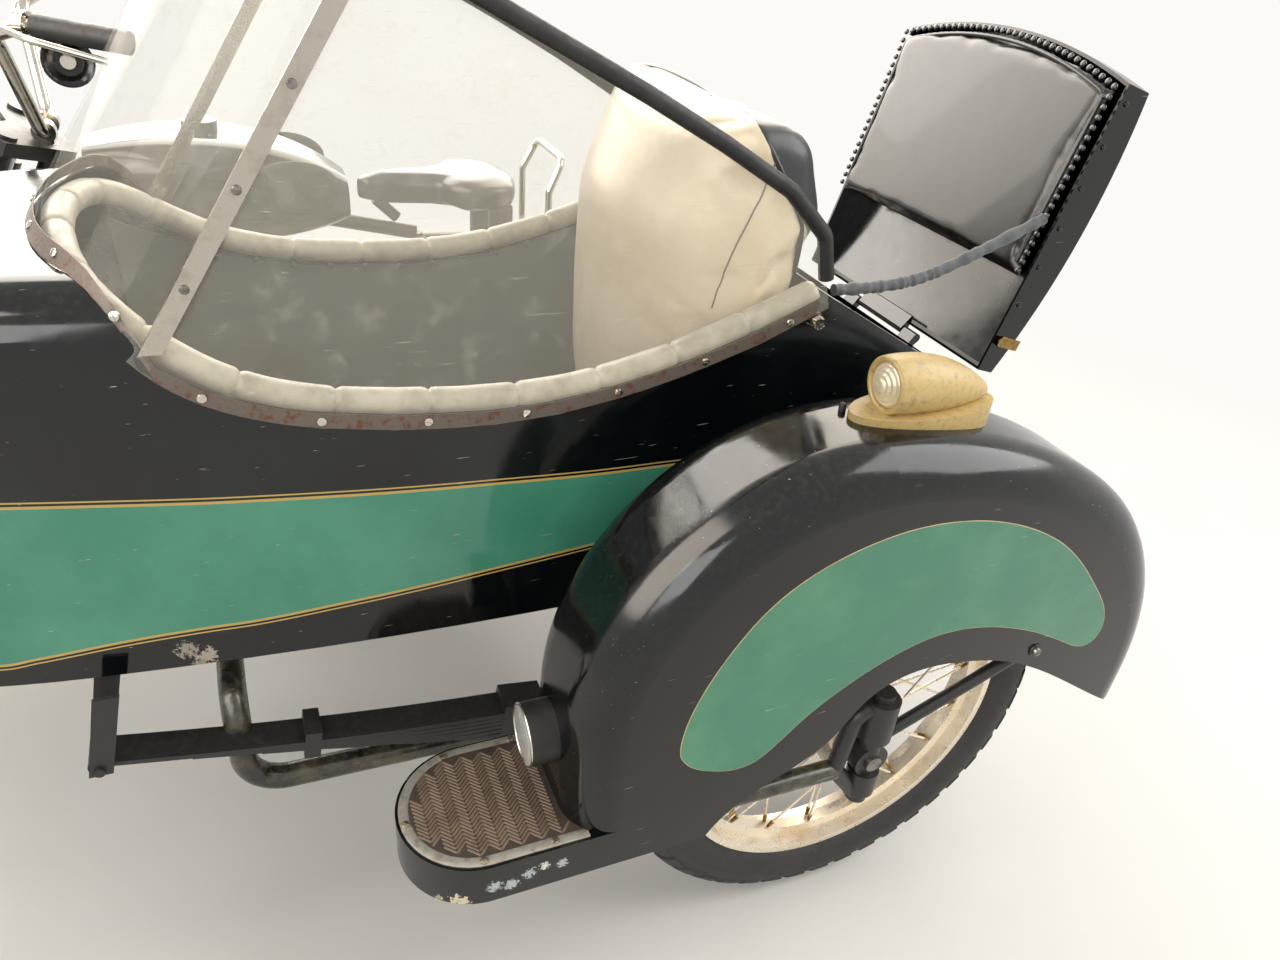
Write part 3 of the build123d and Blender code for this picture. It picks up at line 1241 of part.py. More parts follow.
GUARD_OUTER = guard_form(0)
GUARD_INNER = guard_form(GUARD_WALL)
# Edge of the wheel's opening in side view. Columns: X from the sidecar wheel, Z
LIP = (
    (252, 286),
    (195, 343),
    (86, 410),
    (44, 466),
    (-6, 493),
    (-95, 493),
    (-168, 475),
    (-254, 434),
    (-427, 323),
)
with BuildPart() as sidecar_mudguard:
    add(GUARD_OUTER)
    add(GUARD_INNER, mode=Mode.SUBTRACT)
    with BuildSketch(side_plane(CHAIR_Y + 2 * SKIRT_REACH)) as mouth:
        with BuildLine():
            lip = Spline(*[chair(x, 0, z)[::2] for x, z in LIP])
            Polyline(
                lip @ 1,
                chair(-600, 0, 400)[::2],
                chair(-600, 0, 200)[::2],
                chair(LIP[0][0], 0, 200)[::2],
                lip @ 0,
            )
        make_face()
    extrude(mouth.sketch, amount=4 * SKIRT_REACH, mode=Mode.SUBTRACT)
    with Locations(chair(330, 0, 283)):
        Box(150, 2 * GUARD_IN - 8, 30, mode=Mode.SUBTRACT)
    cut_out(sidecar_frame)
save(sidecar_mudguard, "sidecar_mudguard")


def board_plan(z, inset):
    """The footboard's plan at one height: round at the front, its edge moved in by inset."""
    with BuildSketch(Plane.XY.offset(z)) as plan:
        middle = (SKIRT_REACH - GUARD_IN) / 2
        half = (SKIRT_REACH + GUARD_IN) / 2
        with Locations(chair(BOARD_TIP - half, middle, 0)[:2]):
            Circle(half - inset)
        with Locations(chair((BOARD_TIP - half + 378) / 2, middle, 0)[:2]):
            Rectangle(BOARD_TIP - half - 378, 2 * (half - inset))
    return plan.sketch


with BuildPart() as footboard:
    extrude(board_plan(BOARD_TOP - BOARD_DEPTH, 0), amount=BOARD_DEPTH)
    extrude(board_plan(BOARD_TOP - BOARD_DEPTH, 3), amount=BOARD_DEPTH - 3, mode=Mode.SUBTRACT)
    add(GUARD_OUTER, mode=Mode.SUBTRACT)
    cut_out(sidecar_frame)
save(footboard, "footboard")

with BuildPart() as footboard_mat:
    extrude(board_plan(BOARD_TOP, 16), amount=4)
    add(GUARD_OUTER, mode=Mode.SUBTRACT)
save(footboard_mat, "footboard_mat")

# Marker lamp on the mudguard's crown, its lens to the front
MARKER_R = 34.0
MARKER_BORE_R = MARKER_R - 7.0
MARKER_X = 52.0
MARKER_Z = 866.0
MARKER_RECESS = 18.0


def lamp_circle(x, z, radius, y=0.0):
    """A round section of a lamp, across the outfit's length."""
    with BuildSketch(Plane(origin=chair(x, y, z), x_dir=(0, 1, 0), z_dir=(-1, 0, 0))) as section:
        Circle(radius)
    return section.sketch


with BuildPart() as marker_lamp:
    loft(
        [
            lamp_circle(MARKER_X, MARKER_Z, MARKER_R),
            lamp_circle(MARKER_X - 92, MARKER_Z - 8, MARKER_R - 5),
            lamp_circle(MARKER_X - 144, MARKER_Z - 20, 10),
        ]
    )
    with BuildSketch(Plane.XY.offset(MARKER_Z - 76)) as base:
        with Locations(chair(MARKER_X - 60, 0, 0)[:2]):
            Ellipse(100, 40)
    extrude(base.sketch, amount=46)
    extrude(lamp_circle(MARKER_X, MARKER_Z, MARKER_BORE_R), amount=MARKER_RECESS, mode=Mode.SUBTRACT)
    add(GUARD_OUTER, mode=Mode.SUBTRACT)
save(marker_lamp, "marker_lamp")

with BuildPart() as marker_lens:
    lens_back = MARKER_X - MARKER_RECESS + FACE_GAP
    lens_r = MARKER_BORE_R - FACE_GAP
    # columns: X from the sidecar wheel, radius
    for x, radius in ((lens_back, lens_r), (MARKER_X - 2, lens_r), (MARKER_X + 12, MARKER_R - 20)):
        add(lamp_circle(x, MARKER_Z, radius))
    loft(ruled=True)
save(marker_lens, "marker_lens")

# Round reflector in a cup on the mudguard's front
REFLECTOR_X = 470.0
REFLECTOR_Y = 4.0
REFLECTOR_Z = 446.0
REFLECTOR_R = 39.0
with BuildPart() as reflector:
    extrude(lamp_circle(REFLECTOR_X, REFLECTOR_Z, REFLECTOR_R, REFLECTOR_Y), amount=60)
    recess = lamp_circle(REFLECTOR_X, REFLECTOR_Z, REFLECTOR_R - 4, REFLECTOR_Y)
    extrude(recess, amount=4, mode=Mode.SUBTRACT)
    add(GUARD_OUTER, mode=Mode.SUBTRACT)
save(reflector, "reflector")

# Luggage lid, stored open. Its plane runs up from the hinge; u along it, n out of its back
LID_FOOT = 12.0
LID_PLANE = Plane(
    origin=body(HINGE_AXIS_X, 0, HINGE_AXIS_Z), x_dir=(0, 1, 0),
    z_dir=(-cos(radians(LID_LEAN)), 0, -sin(radians(LID_LEAN))),
)


def lid_outline(inset, foot=LID_FOOT):
    """The lid's outline in its own plane from foot upwards, its rim moved in by inset."""
    half = LID_HALF - inset
    shoulder = LID_LENGTH - inset
    with BuildSketch(LID_PLANE) as outline:
        with BuildLine():
            top = ThreePointArc((-half, -shoulder), (0, -shoulder - LID_CROWN), (half, -shoulder))
            Polyline(top @ 1, (half, -foot - inset), (-half, -foot - inset), top @ 0)
        make_face()
    return outline.sketch


def lid_point(u, n):
    """A side-view point from the hinge: u up the lid, n out of its back."""
    lean = radians(LID_LEAN)
    x = HINGE_AXIS_X - u * sin(lean) - n * cos(lean)
    z = HINGE_AXIS_Z + u * cos(lean) - n * sin(lean)
    return body(x, 0, z)[::2]


def lid_side(inset, front):
    """The lid's side view from its front face back to its bulged shell, moved in by inset."""
    foot_u = LID_FOOT + inset
    top_u = LID_LENGTH + LID_CROWN
    with BuildSketch(side_plane(BODY_Y + LID_HALF - inset)) as bulge:
        with BuildLine():
            back = ThreePointArc(
                lid_point(foot_u, LID_FOOT_DEPTH - inset),
                lid_point(LID_LENGTH / 2, LID_BELLY - inset),
                lid_point(top_u, LID_RIM - inset),
            )
            Polyline(back @ 1, lid_point(top_u, front), lid_point(foot_u, front), back @ 0)
        make_face()
    return bulge.sketch


with BuildPart() as luggage_lid:
    # back and rim as one arched block, hollowed from the inner face
    extrude(lid_side(0, 0), amount=2 * LID_HALF)
    extrude(lid_outline(0), amount=2 * LID_BELLY, mode=Mode.INTERSECT)
    with BuildPart(mode=Mode.PRIVATE) as cavity:
        extrude(lid_side(LID_SHELL, -1), amount=2 * (LID_HALF - LID_SHELL))
        extrude(lid_outline(LID_SHELL), amount=2 * LID_BELLY, both=True, mode=Mode.INTERSECT)
    cut_out(cavity)
    # knuckle round the hinge pin
    with BuildSketch(side_plane(BODY_Y + 60)) as knuckle:
        with Locations(body(HINGE_AXIS_X, 0, HINGE_AXIS_Z)[::2]):
            Circle(KNUCKLE_R)
        with Locations(lid_point(LID_FOOT + 10, 6)):
            Circle(3)
        make_hull()
    extrude(knuckle.sketch, amount=120)
    pin_bore_r = HINGE_PIN_R + AXLE_FIT
    disc(CHAIR_X + HINGE_AXIS_X, BODY_Y - 61, BODY_Y + 61, HINGE_AXIS_Z, pin_bore_r, Mode.SUBTRACT)
save(luggage_lid, "luggage_lid")

PAD_T = 12.0
PAD_INSET = 3.0
PAD_FOOT = 137.0
with BuildPart() as lid_pad:
    extrude(lid_outline(PAD_INSET, PAD_FOOT), amount=-PAD_T)
save(lid_pad, "lid_pad")

# Strap that holds the open lid, from the deck's corner to the lid's near edge
STRAP_Y = BODY_TAIL_HALF - 12.0
with BuildPart() as lid_strap:
    points = [body(x, STRAP_Y, z) for x, z in ((6, 901), (-78, 898), (-170, 917), (-315, 982))]
    tube(points, 8, 60)
    cut_out(sidecar_body, lid_pad)
save(lid_strap, "lid_strap")

# Chain guard, oil tank, and the number plate with the tail lamp behind the rear mudguard
with BuildPart() as chain_guard:
    with BuildSketch(side_plane(BIKE_Y + CHAIN_Y + 16)) as cover:
        with BuildLine():
            Polyline(
                bike(40, 0, AXLE_Z + 96)[::2], bike(GEARBOX_X - 60, 0, GEARBOX_Z + 46)[::2],
                bike(GEARBOX_X - 60, 0, GEARBOX_Z + 76)[::2], bike(30, 0, AXLE_Z + 128)[::2],
                bike(-70, 0, AXLE_Z + 100)[::2], bike(-56, 0, AXLE_Z + 74)[::2],
                close=True,
            )
        make_face()
    extrude(cover.sketch, amount=3)
    cut_out(engine_case)
save(chain_guard, "chain_guard")

with BuildPart() as oil_tank:
    with Locations(bike(372, -92, 540)):
        Box(96, 72, 170)
    fillet(oil_tank.edges(), 20)
    tube([bike(372, -92, 620), bike(372, -92, 638)], 18)
    cut_out(bike_frame, frame_stays)
save(oil_tank, "oil_tank")

PLATE_X = -TAIL_REACH
with BuildPart() as number_plate:
    with BuildSketch(Plane(origin=bike(PLATE_X, 0, 470), x_dir=(0, 1, 0), z_dir=(1, 0, 0))) as plate:
        RectangleRounded(200, 150, 12)
    extrude(plate.sketch, amount=3)
    with Locations(bike(PLATE_X + 32, 0, 532)):
        Box(60, 40, 60)
    cut_out(rear_mudguard)
save(number_plate, "number_plate")

with BuildPart() as tail_lamp:
    tube([bike(PLATE_X + 10, 0, 584), bike(PLATE_X + 60, 0, 584)], 32)
    cut_out(number_plate)
save(tail_lamp, "tail_lamp")
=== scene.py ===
"""Looks of a vintage motorcycle and its boat-shaped passenger sidecar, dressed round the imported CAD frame."""

import logging
import math
from collections.abc import Callable, Iterator
from contextlib import contextmanager
from dataclasses import dataclass, field, replace
from enum import Enum

import bmesh
import bpy
from mathutils import Matrix, Vector
from mathutils.bvhtree import BVHTree


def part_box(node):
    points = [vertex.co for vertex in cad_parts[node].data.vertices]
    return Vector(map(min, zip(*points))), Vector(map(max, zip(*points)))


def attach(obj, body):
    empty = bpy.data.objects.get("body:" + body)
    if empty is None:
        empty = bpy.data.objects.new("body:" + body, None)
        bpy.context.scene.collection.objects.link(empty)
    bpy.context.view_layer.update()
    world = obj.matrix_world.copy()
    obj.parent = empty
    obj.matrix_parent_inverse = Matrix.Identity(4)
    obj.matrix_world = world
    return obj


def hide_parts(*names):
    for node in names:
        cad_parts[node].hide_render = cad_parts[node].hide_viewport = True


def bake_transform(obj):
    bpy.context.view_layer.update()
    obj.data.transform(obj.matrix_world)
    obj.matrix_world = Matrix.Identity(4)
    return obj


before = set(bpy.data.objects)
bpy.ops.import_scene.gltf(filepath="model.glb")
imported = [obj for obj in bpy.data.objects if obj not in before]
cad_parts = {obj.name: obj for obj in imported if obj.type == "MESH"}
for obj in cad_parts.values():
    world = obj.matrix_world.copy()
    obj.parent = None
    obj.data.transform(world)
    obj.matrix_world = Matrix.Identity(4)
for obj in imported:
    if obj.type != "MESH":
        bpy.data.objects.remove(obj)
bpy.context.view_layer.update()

LOG = logging.getLogger("sidecar_outfit")

# The sidecar wheel's foot, the middle lines of the body and the motorcycle, and the axles' height, as the CAD
# places them, in millimetres
WHEEL_FOOT = (-582.5, 690.0)
BODY_MIDDLE = 265.0
BIKE_MIDDLE = -440.0
AXLE_HEIGHT = 330.0

AHEAD, LEFT, UP = Vector((1, 0, 0)), Vector((0, 1, 0)), Vector((0, 0, 1))
SIDES = ((1, "left"), (-1, "right"))

Point = tuple[float, float, float]
Pair = tuple[float, float]
Object = bpy.types.Object
Socket = bpy.types.NodeSocket
Wires = dict[str | int, object]


class Rides(str, Enum):
    """The CAD bodies that pieces move with."""

    CHASSIS = "chassis"
    STEERING = "steering"
    FRONT = "front_road_wheel"
    REAR = "rear_road_wheel"
    CHAIR = "sidecar_road_wheel"
    LID = "lid"


def metres(x: float, y: float, z: float) -> Vector:
    """Turns a point in millimetres into metres."""
    return Vector((x / 1000, y / 1000, z / 1000))


def chair(x: float, y: float, z: float) -> Vector:
    """A point given in millimetres from the sidecar wheel's foot on the floor."""
    return metres(WHEEL_FOOT[0] + x, WHEEL_FOOT[1] + y, z)


def body(x: float, y: float, z: float) -> Vector:
    """A point given in millimetres from the body's middle plane, below the sidecar wheel's axle."""
    return metres(WHEEL_FOOT[0] + x, BODY_MIDDLE + y, z)


def across(side: int) -> Vector:
    """The direction to the left, or to the right where the side is -1."""
    return Vector((0, side, 0))


# workbench


def take(obj: Object) -> None:
    """Makes one object the only selected one, because an operator acts on all that is selected."""
    bpy.ops.object.select_all(action="DESELECT")
    obj.select_set(True)
    bpy.context.view_layer.objects.active = obj


@contextmanager
def editing(obj: Object, kind: str = "FACE", whole: bool = False) -> Iterator[None]:
    """Opens an object in edit mode for a while.

    Args:
        obj: The object to edit.
        kind: The select mode, VERT, EDGE or FACE.
        whole: Whether all of it is selected.
    """
    take(obj)
    bpy.ops.object.mode_set(mode="EDIT")
    bpy.ops.mesh.select_mode(type=kind)
    if whole:
        bpy.ops.mesh.select_all(action="SELECT")
    yield
    bpy.ops.object.mode_set(mode="OBJECT")


def pick(obj: Object, test: Callable[[Vector, Vector, int], bool]) -> None:
    """Selects faces of an object in edit mode.

    Args:
        obj: The object.
        test: Says of a face's middle, normal and number whether it is wanted.
    """
    mesh = bmesh.from_edit_mesh(obj.data)
    for face in mesh.faces:
        face.select_set(test(face.calc_center_median(), face.normal, face.index))
    mesh.select_flush_mode()
    bmesh.update_edit_mesh(obj.data)


def pick_ends(obj: Object, way: float) -> None:
    """Selects the faces that look along +Z, or along -Z where the way is -1."""
    pick(obj, lambda middle, normal, number: normal.z * way > 0.9)


def pick_grips(obj: Object) -> None:
    """Selects every other side face of an upright bar, for its ribs."""
    pick(obj, lambda middle, normal, number: abs(normal.z) < 0.5 and number % 2 == 0)


def primitive(kind: str, **settings: object) -> Object:
    """Adds one of Blender's own mesh shapes.

    Args:
        kind: The shape, as its operator names it.
        settings: The operator's settings.

    Returns:
        The shape, round the origin unless the settings move it.
    """
    bpy.ops.object.select_all(action="DESELECT")
    getattr(bpy.ops.mesh, f"primitive_{kind}_add")(**settings)
    return bpy.context.active_object


def apply_place(obj: Object) -> None:
    """Moves an object's place, turn and size into its mesh."""
    take(obj)
    bpy.ops.object.transform_apply(location=True, rotation=True, scale=True)


def apply_modifier(obj: Object, kind: str, **settings: object) -> None:
    """Adds a modifier to an object and applies it.

    Args:
        obj: The object.
        kind: The modifier's type.
        settings: The modifier's own settings.
    """
    take(obj)
    made = obj.modifiers.new(kind.title(), kind)
    for key, value in settings.items():
        setattr(made, key, value)
    bpy.ops.object.modifier_apply(modifier=made.name)


def soften_edges(obj: Object, width: float) -> None:
    """Rounds an object's sharp edges by a width in metres."""
    apply_modifier(obj, "BEVEL", width=width, segments=2, limit_method="ANGLE")


def aim(place: Vector, normal: Vector, turn: float = 0.0) -> Matrix:
    """Stands a piece made round +Z on a surface, after a turn in radians about its outward normal."""
    turned = normal.to_track_quat("Z", "Y").to_matrix().to_4x4()
    return Matrix.Translation(place) @ turned @ Matrix.Rotation(turn, 4, "Z")


def settle(
    obj: Object, name: str, finish: "Finish", angle: float = 40.0, place: Matrix | None = None,
    rides: Rides | None = Rides.CHASSIS,
) -> None:
    """Finishes a piece: applies its place, names and dresses it, and makes it ride.

    Args:
        obj: The modelled object.
        name: The piece's name.
        finish: Its material.
        angle: Edges sharper than this, in degrees, stay sharp.
        place: Where it goes, if it isn't there yet.
        rides: The body that it moves with, or none for a piece blended between two.
    """
    if place is not None:
        obj.matrix_world = place
    apply_place(obj)
    obj.name = name
    obj.data.name = name
    bpy.ops.object.shade_smooth_by_angle(angle=math.radians(angle))
    obj.data.materials.clear()
    obj.data.materials.append(finish.make())
    if rides is not None:
        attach(obj, rides.value)
    LOG.info("%s: %d faces", name, len(obj.data.polygons))


def set_copies(pattern: Object, places: list[Matrix]) -> Object:
    """Copies a modelled pattern to each place, each copy with its own mesh, and joins them.

    Args:
        pattern: The piece modelled once, round the origin.
        places: Where the copies go.

    Returns:
        One object that holds all the copies.
    """
    apply_place(pattern)
    made = []
    for place in places:
        one = bpy.data.objects.new(pattern.name, pattern.data.copy())
        bpy.context.collection.objects.link(one)
        one.matrix_world = place
        made.append(one)
    bpy.data.objects.remove(pattern)
    take(made[0])
    for one in made:
        one.select_set(True)
    if len(made) > 1:
        bpy.ops.object.join()
    return made[0]


def add_run(curve: bpy.types.Curve, points: list[Vector], kind: str) -> bpy.types.Spline:
    """Adds a spline of a kind to a curve, with the given control points."""
    spline = curve.splines.new(kind)
    spline.points.add(len(points) - 1)
    for spot, place in zip(spline.points, points):
        spot.co = (*place, 1.0)
    return spline


def curve_line(points: list[Vector], kind: str = "NURBS", closed: bool = False, fineness: int = 12) -> Object:
    """Draws one open or closed spline through or near points.

    Args:
        points: Its control points in metres.
        kind: NURBS for a smooth line, POLY for straight runs.
        closed: Whether it closes on itself.
        fineness: The spline's resolution between two points.

    Returns:
        The curve object.
    """
    line = bpy.data.curves.new("line", "CURVE")
    line.dimensions = "3D"
    line.resolution_u = fineness
    spline = add_run(line, points, kind)
    spline.use_cyclic_u = closed
    if kind == "NURBS":
        spline.order_u = 3
        spline.use_endpoint_u = not closed
    obj = bpy.data.objects.new("line", line)
    bpy.context.collection.objects.link(obj)
    return obj


def read_route(points: list[Vector], fineness: int) -> list[Vector]:
    """Points read from the smooth spline that has the given control points.

    Args:
        points: Control points in metres.
        fineness: The spline's resolution between two of them.

    Returns:
        The points, both ends included.
    """
    obj = curve_line(points, fineness=fineness)
    bpy.context.view_layer.update()
    mesh = bpy.data.meshes.new_from_object(obj.evaluated_get(bpy.context.evaluated_depsgraph_get()))
    line = [vertex.co.copy() for vertex in mesh.vertices]
    bpy.data.meshes.remove(mesh)
    bpy.data.objects.remove(obj)
    return line


def walk(points: list[Vector], step: float) -> list[Vector]:
    """Points at even steps along a smooth line near the given ones.

    Args:
        points: Control points in metres.
        step: The wanted distance between the points in metres.

    Returns:
        The points, both ends included.
    """
    line = read_route(points, 12)
    marks = [0.0]
    for before, after in zip(line, line[1:]):
        marks.append(marks[-1] + (after - before).length)
    count = max(2, round(marks[-1] / step))
    found, at = [], 0
    for i in range(count + 1):
        want = marks[-1] * i / count
        while at < len(marks) - 2 and marks[at + 1] < want:
            at += 1
        part = (want - marks[at]) / max(1e-9, marks[at + 1] - marks[at])
        found.append(line[at].lerp(line[at + 1], min(1.0, part)))
    return found


def bent_tube(
    points: list[Vector], radius: float, swell: list[float] | None = None, kind: str = "NURBS",
    closed: bool = False, sides: int = 3,
) -> Object:
    """A round bar along a line, with its thickness changed from point to point if wanted.

    Args:
        points: The line's points in metres.
        radius: Its radius in metres.
        swell: A factor on the radius at each point.
        kind: NURBS or POLY.
        closed: Whether it closes on itself.
        sides: The bevel's resolution.

    Returns:
        The bar as a mesh object.
    """
    obj = curve_line(points, kind, closed)
    obj.data.bevel_depth = radius
    obj.data.bevel_resolution = sides
    obj.data.use_fill_caps = not closed
    for spot, factor in zip(obj.data.splines[0].points, swell or ()):
        spot.radius = factor
    take(obj)
    bpy.ops.object.convert(target="MESH")
    return obj


def ribbon(low: list[Vector], high: list[Vector], thickness: float) -> Object:
    """A flat band between two lines of as many points, given a thickness.

    Args:
        low: The points of one edge.
        high: The points of the other edge.
        thickness: The band's thickness in metres.

    Returns:
        The band as a mesh object.
    """
    obj = curve_line(low, "POLY")
    add_run(obj.data, high, "POLY")
    take(obj)
    bpy.ops.object.convert(target="MESH")
    with editing(obj, "EDGE", whole=True):
        bpy.ops.mesh.bridge_edge_loops()
    apply_modifier(obj, "SOLIDIFY", thickness=thickness, offset=0.0)
    with editing(obj, whole=True):
        bpy.ops.mesh.normals_make_consistent(inside=False)
    return obj


@dataclass(frozen=True)
class Head:
    """A screw, rivet or nail head, its sizes in metres, with a driver slot if slotted."""

    radius: float
    height: float
    slotted: bool = False

    def model(self) -> Object:
        """The head round +Z, its underside at the origin.

        Returns:
            The head as a mesh object.
        """
        radius, height = self.radius, self.height
        head = primitive("cylinder", vertices=14, radius=radius, depth=height, location=(0, 0, height / 2))
        with editing(head):
            pick_ends(head, 1)
            bpy.ops.mesh.bevel(offset=min(radius, height) * 0.55, segments=2, affect="EDGES")
        if self.slotted:
            slot = primitive("cube", size=1, location=(0, 0, height))
            slot.scale = (radius * 3, radius * 0.28, height * 0.7)
            apply_modifier(head, "BOOLEAN", object=slot, operation="DIFFERENCE", solver="EXACT")
            bpy.data.objects.remove(slot)
        return head


def fasten(
    name: str, head: Head, places: list[Matrix], finish: "Finish", angle: float = 40.0,
    rides: Rides = Rides.CHASSIS,
) -> None:
    """Sets a row of like heads as one piece."""
    settle(set_copies(head.model(), places), name, finish, angle, rides=rides)


def ringed_disc(radius: float, rings: int, step: float, rise: float) -> Object:
    """A pressed lens round +Z: raised rings about a middle bull's-eye.

    Args:
        radius: The lens's radius in metres.
        rings: How many raised rings it has.
        step: The height of one ring in metres.
        rise: How far the middle stands above the edge in metres.

    Returns:
        The lens as a mesh object.
    """
    disc = primitive("circle", vertices=48, radius=radius, fill_type="NGON")
    width = radius / (2 * rings + 1.5)
    with editing(disc, whole=True):
        bpy.ops.mesh.extrude_region_move(TRANSFORM_OT_translate={"value": (0, 0, step)})
        for ring in range(2 * rings):
            depth = (step if ring % 2 == 0 else -step * 0.8) + rise / (2 * rings)
            bpy.ops.mesh.inset(thickness=width * 0.25, depth=0)
            bpy.ops.mesh.inset(thickness=width * 0.75, depth=depth)
    soften_edges(disc, width * 0.2)
    return disc


def hoop(radius: float, thickness: float, segments: int, sides: int) -> Object:
    """A round ring about +Z with a round section, whose radius is its thickness, both in metres."""
    return primitive(
        "torus", major_radius=radius, minor_radius=thickness, major_segments=segments, minor_segments=sides
    )


def surface_of(mesh: bpy.types.Mesh | str) -> BVHTree:
    """A search tree over a mesh's surface, or over one CAD node's."""
    if isinstance(mesh, str):
        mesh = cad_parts[mesh].data
    places = [vertex.co.copy() for vertex in mesh.vertices]
    return BVHTree.FromPolygons(places, [tuple(face.vertices) for face in mesh.polygons])


def box_corners(node: str) -> list[Vector]:
    """The low and high corner of one CAD node's box, in metres."""
    return [Vector(corner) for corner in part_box(node)]


# finishes


def linear(colour: str) -> tuple[float, float, float, float]:
    """Turns an sRGB hex colour into linear values with an alpha of 1."""
    parts = [int(colour[i : i + 2], 16) / 255 for i in (1, 3, 5)]
    return (*[c / 12.92 if c <= 0.04045 else ((c + 0.055) / 1.055) ** 2.4 for c in parts], 1.0)


class Graph:
    """The shader nodes of one material or world."""

    def __init__(self, owner: bpy.types.Material | bpy.types.World) -> None:
        """Empties the owner's node tree."""
        owner.use_nodes = True
        self.tree = owner.node_tree
        self.tree.nodes.clear()

    def add(self, kind: str, wires: Wires | None = None, **settings: object) -> bpy.types.Node:
        """Adds one shader node with its settings, values and links.

        Args:
            kind: The node's type after ShaderNode.
            wires: A value or another node's output for each input socket.
            settings: The node's own settings.

        Returns:
            The node.
        """
        made = self.tree.nodes.new("ShaderNode" + kind)
        for key, value in settings.items():
            setattr(made, key, value)
        for key, value in (wires or {}).items():
            if isinstance(value, Socket):
                self.tree.links.new(value, made.inputs[key])
            else:
                made.inputs[key].default_value = value
        return made

    @property
    def where(self) -> Socket:
        """The place on the object, in metres."""
        found = self.tree.nodes.get("Texture Coordinate")
        return (found or self.add("TexCoord")).outputs["Object"]

    def math(self, operation: str, *values: object, clamp: bool = False) -> Socket:
        """One sum of numbers or sockets, held to 0 to 1 if clamped."""
        return self.add("Math", dict(enumerate(values)), operation=operation, use_clamp=clamp).outputs[0]

    def span(self, value: Socket, low: float, high: float, to: Pair = (0, 1), **settings: object) -> Socket:
        """A value's place between two limits, turned into the range given by to and held inside it."""
        wires = {"Value": value, "From Min": low, "From Max": high, "To Min": to[0], "To Max": to[1]}
        return self.add("MapRange", wires, **settings).outputs[0]

    def mix(self, share: Socket, low: Socket | str, high: Socket | str) -> Socket:
        """Mixes two colours, each a socket or a hex colour, by a share."""
        low, high = (linear(paint) if isinstance(paint, str) else paint for paint in (low, high))
        return self.add("Mix", {0: share, 6: low, 7: high}, data_type="RGBA").outputs[2]

    def noise(self, where: Socket, scale: float, detail: float, **more: float) -> Socket:
        """A noise's value at a place, with its scale for a metre."""
        wires = {"Vector": where, "Scale": scale, "Detail": detail, **more}
        return self.add("TexNoise", wires).outputs["Fac"]

    def patches(self, size_mm: float, low: float, high: float) -> Socket:
        """Soft patches of a size: 0 below the low threshold of a noise, 1 above the high one."""
        return self.span(self.noise(self.where, 1000 / size_mm, 7.0, Roughness=0.62), low, high)

    def streaks(self, turn: Point, scale: Point, detail: float, limits: Pair, top: float = 1.0) -> Socket:
        """Thin lines along one direction: stretched noise, 0 at the first limit and the top at the second."""
        lie = self.add("Mapping", {"Vector": self.where, "Rotation": turn, "Scale": scale}).outputs[0]
        return self.span(self.noise(lie, 1.0, detail), *limits, (0.0, top))

    def axes(self, vector: Socket) -> bpy.types.bpy_prop_collection:
        """The X, Y and Z of a vector."""
        return self.add("SeparateXYZ", {0: vector}).outputs

    def facing(self, axis: str) -> Socket:
        """One axis of the surface's normal."""
        return self.axes(self.add("NewGeometry").outputs["Normal"])[axis]


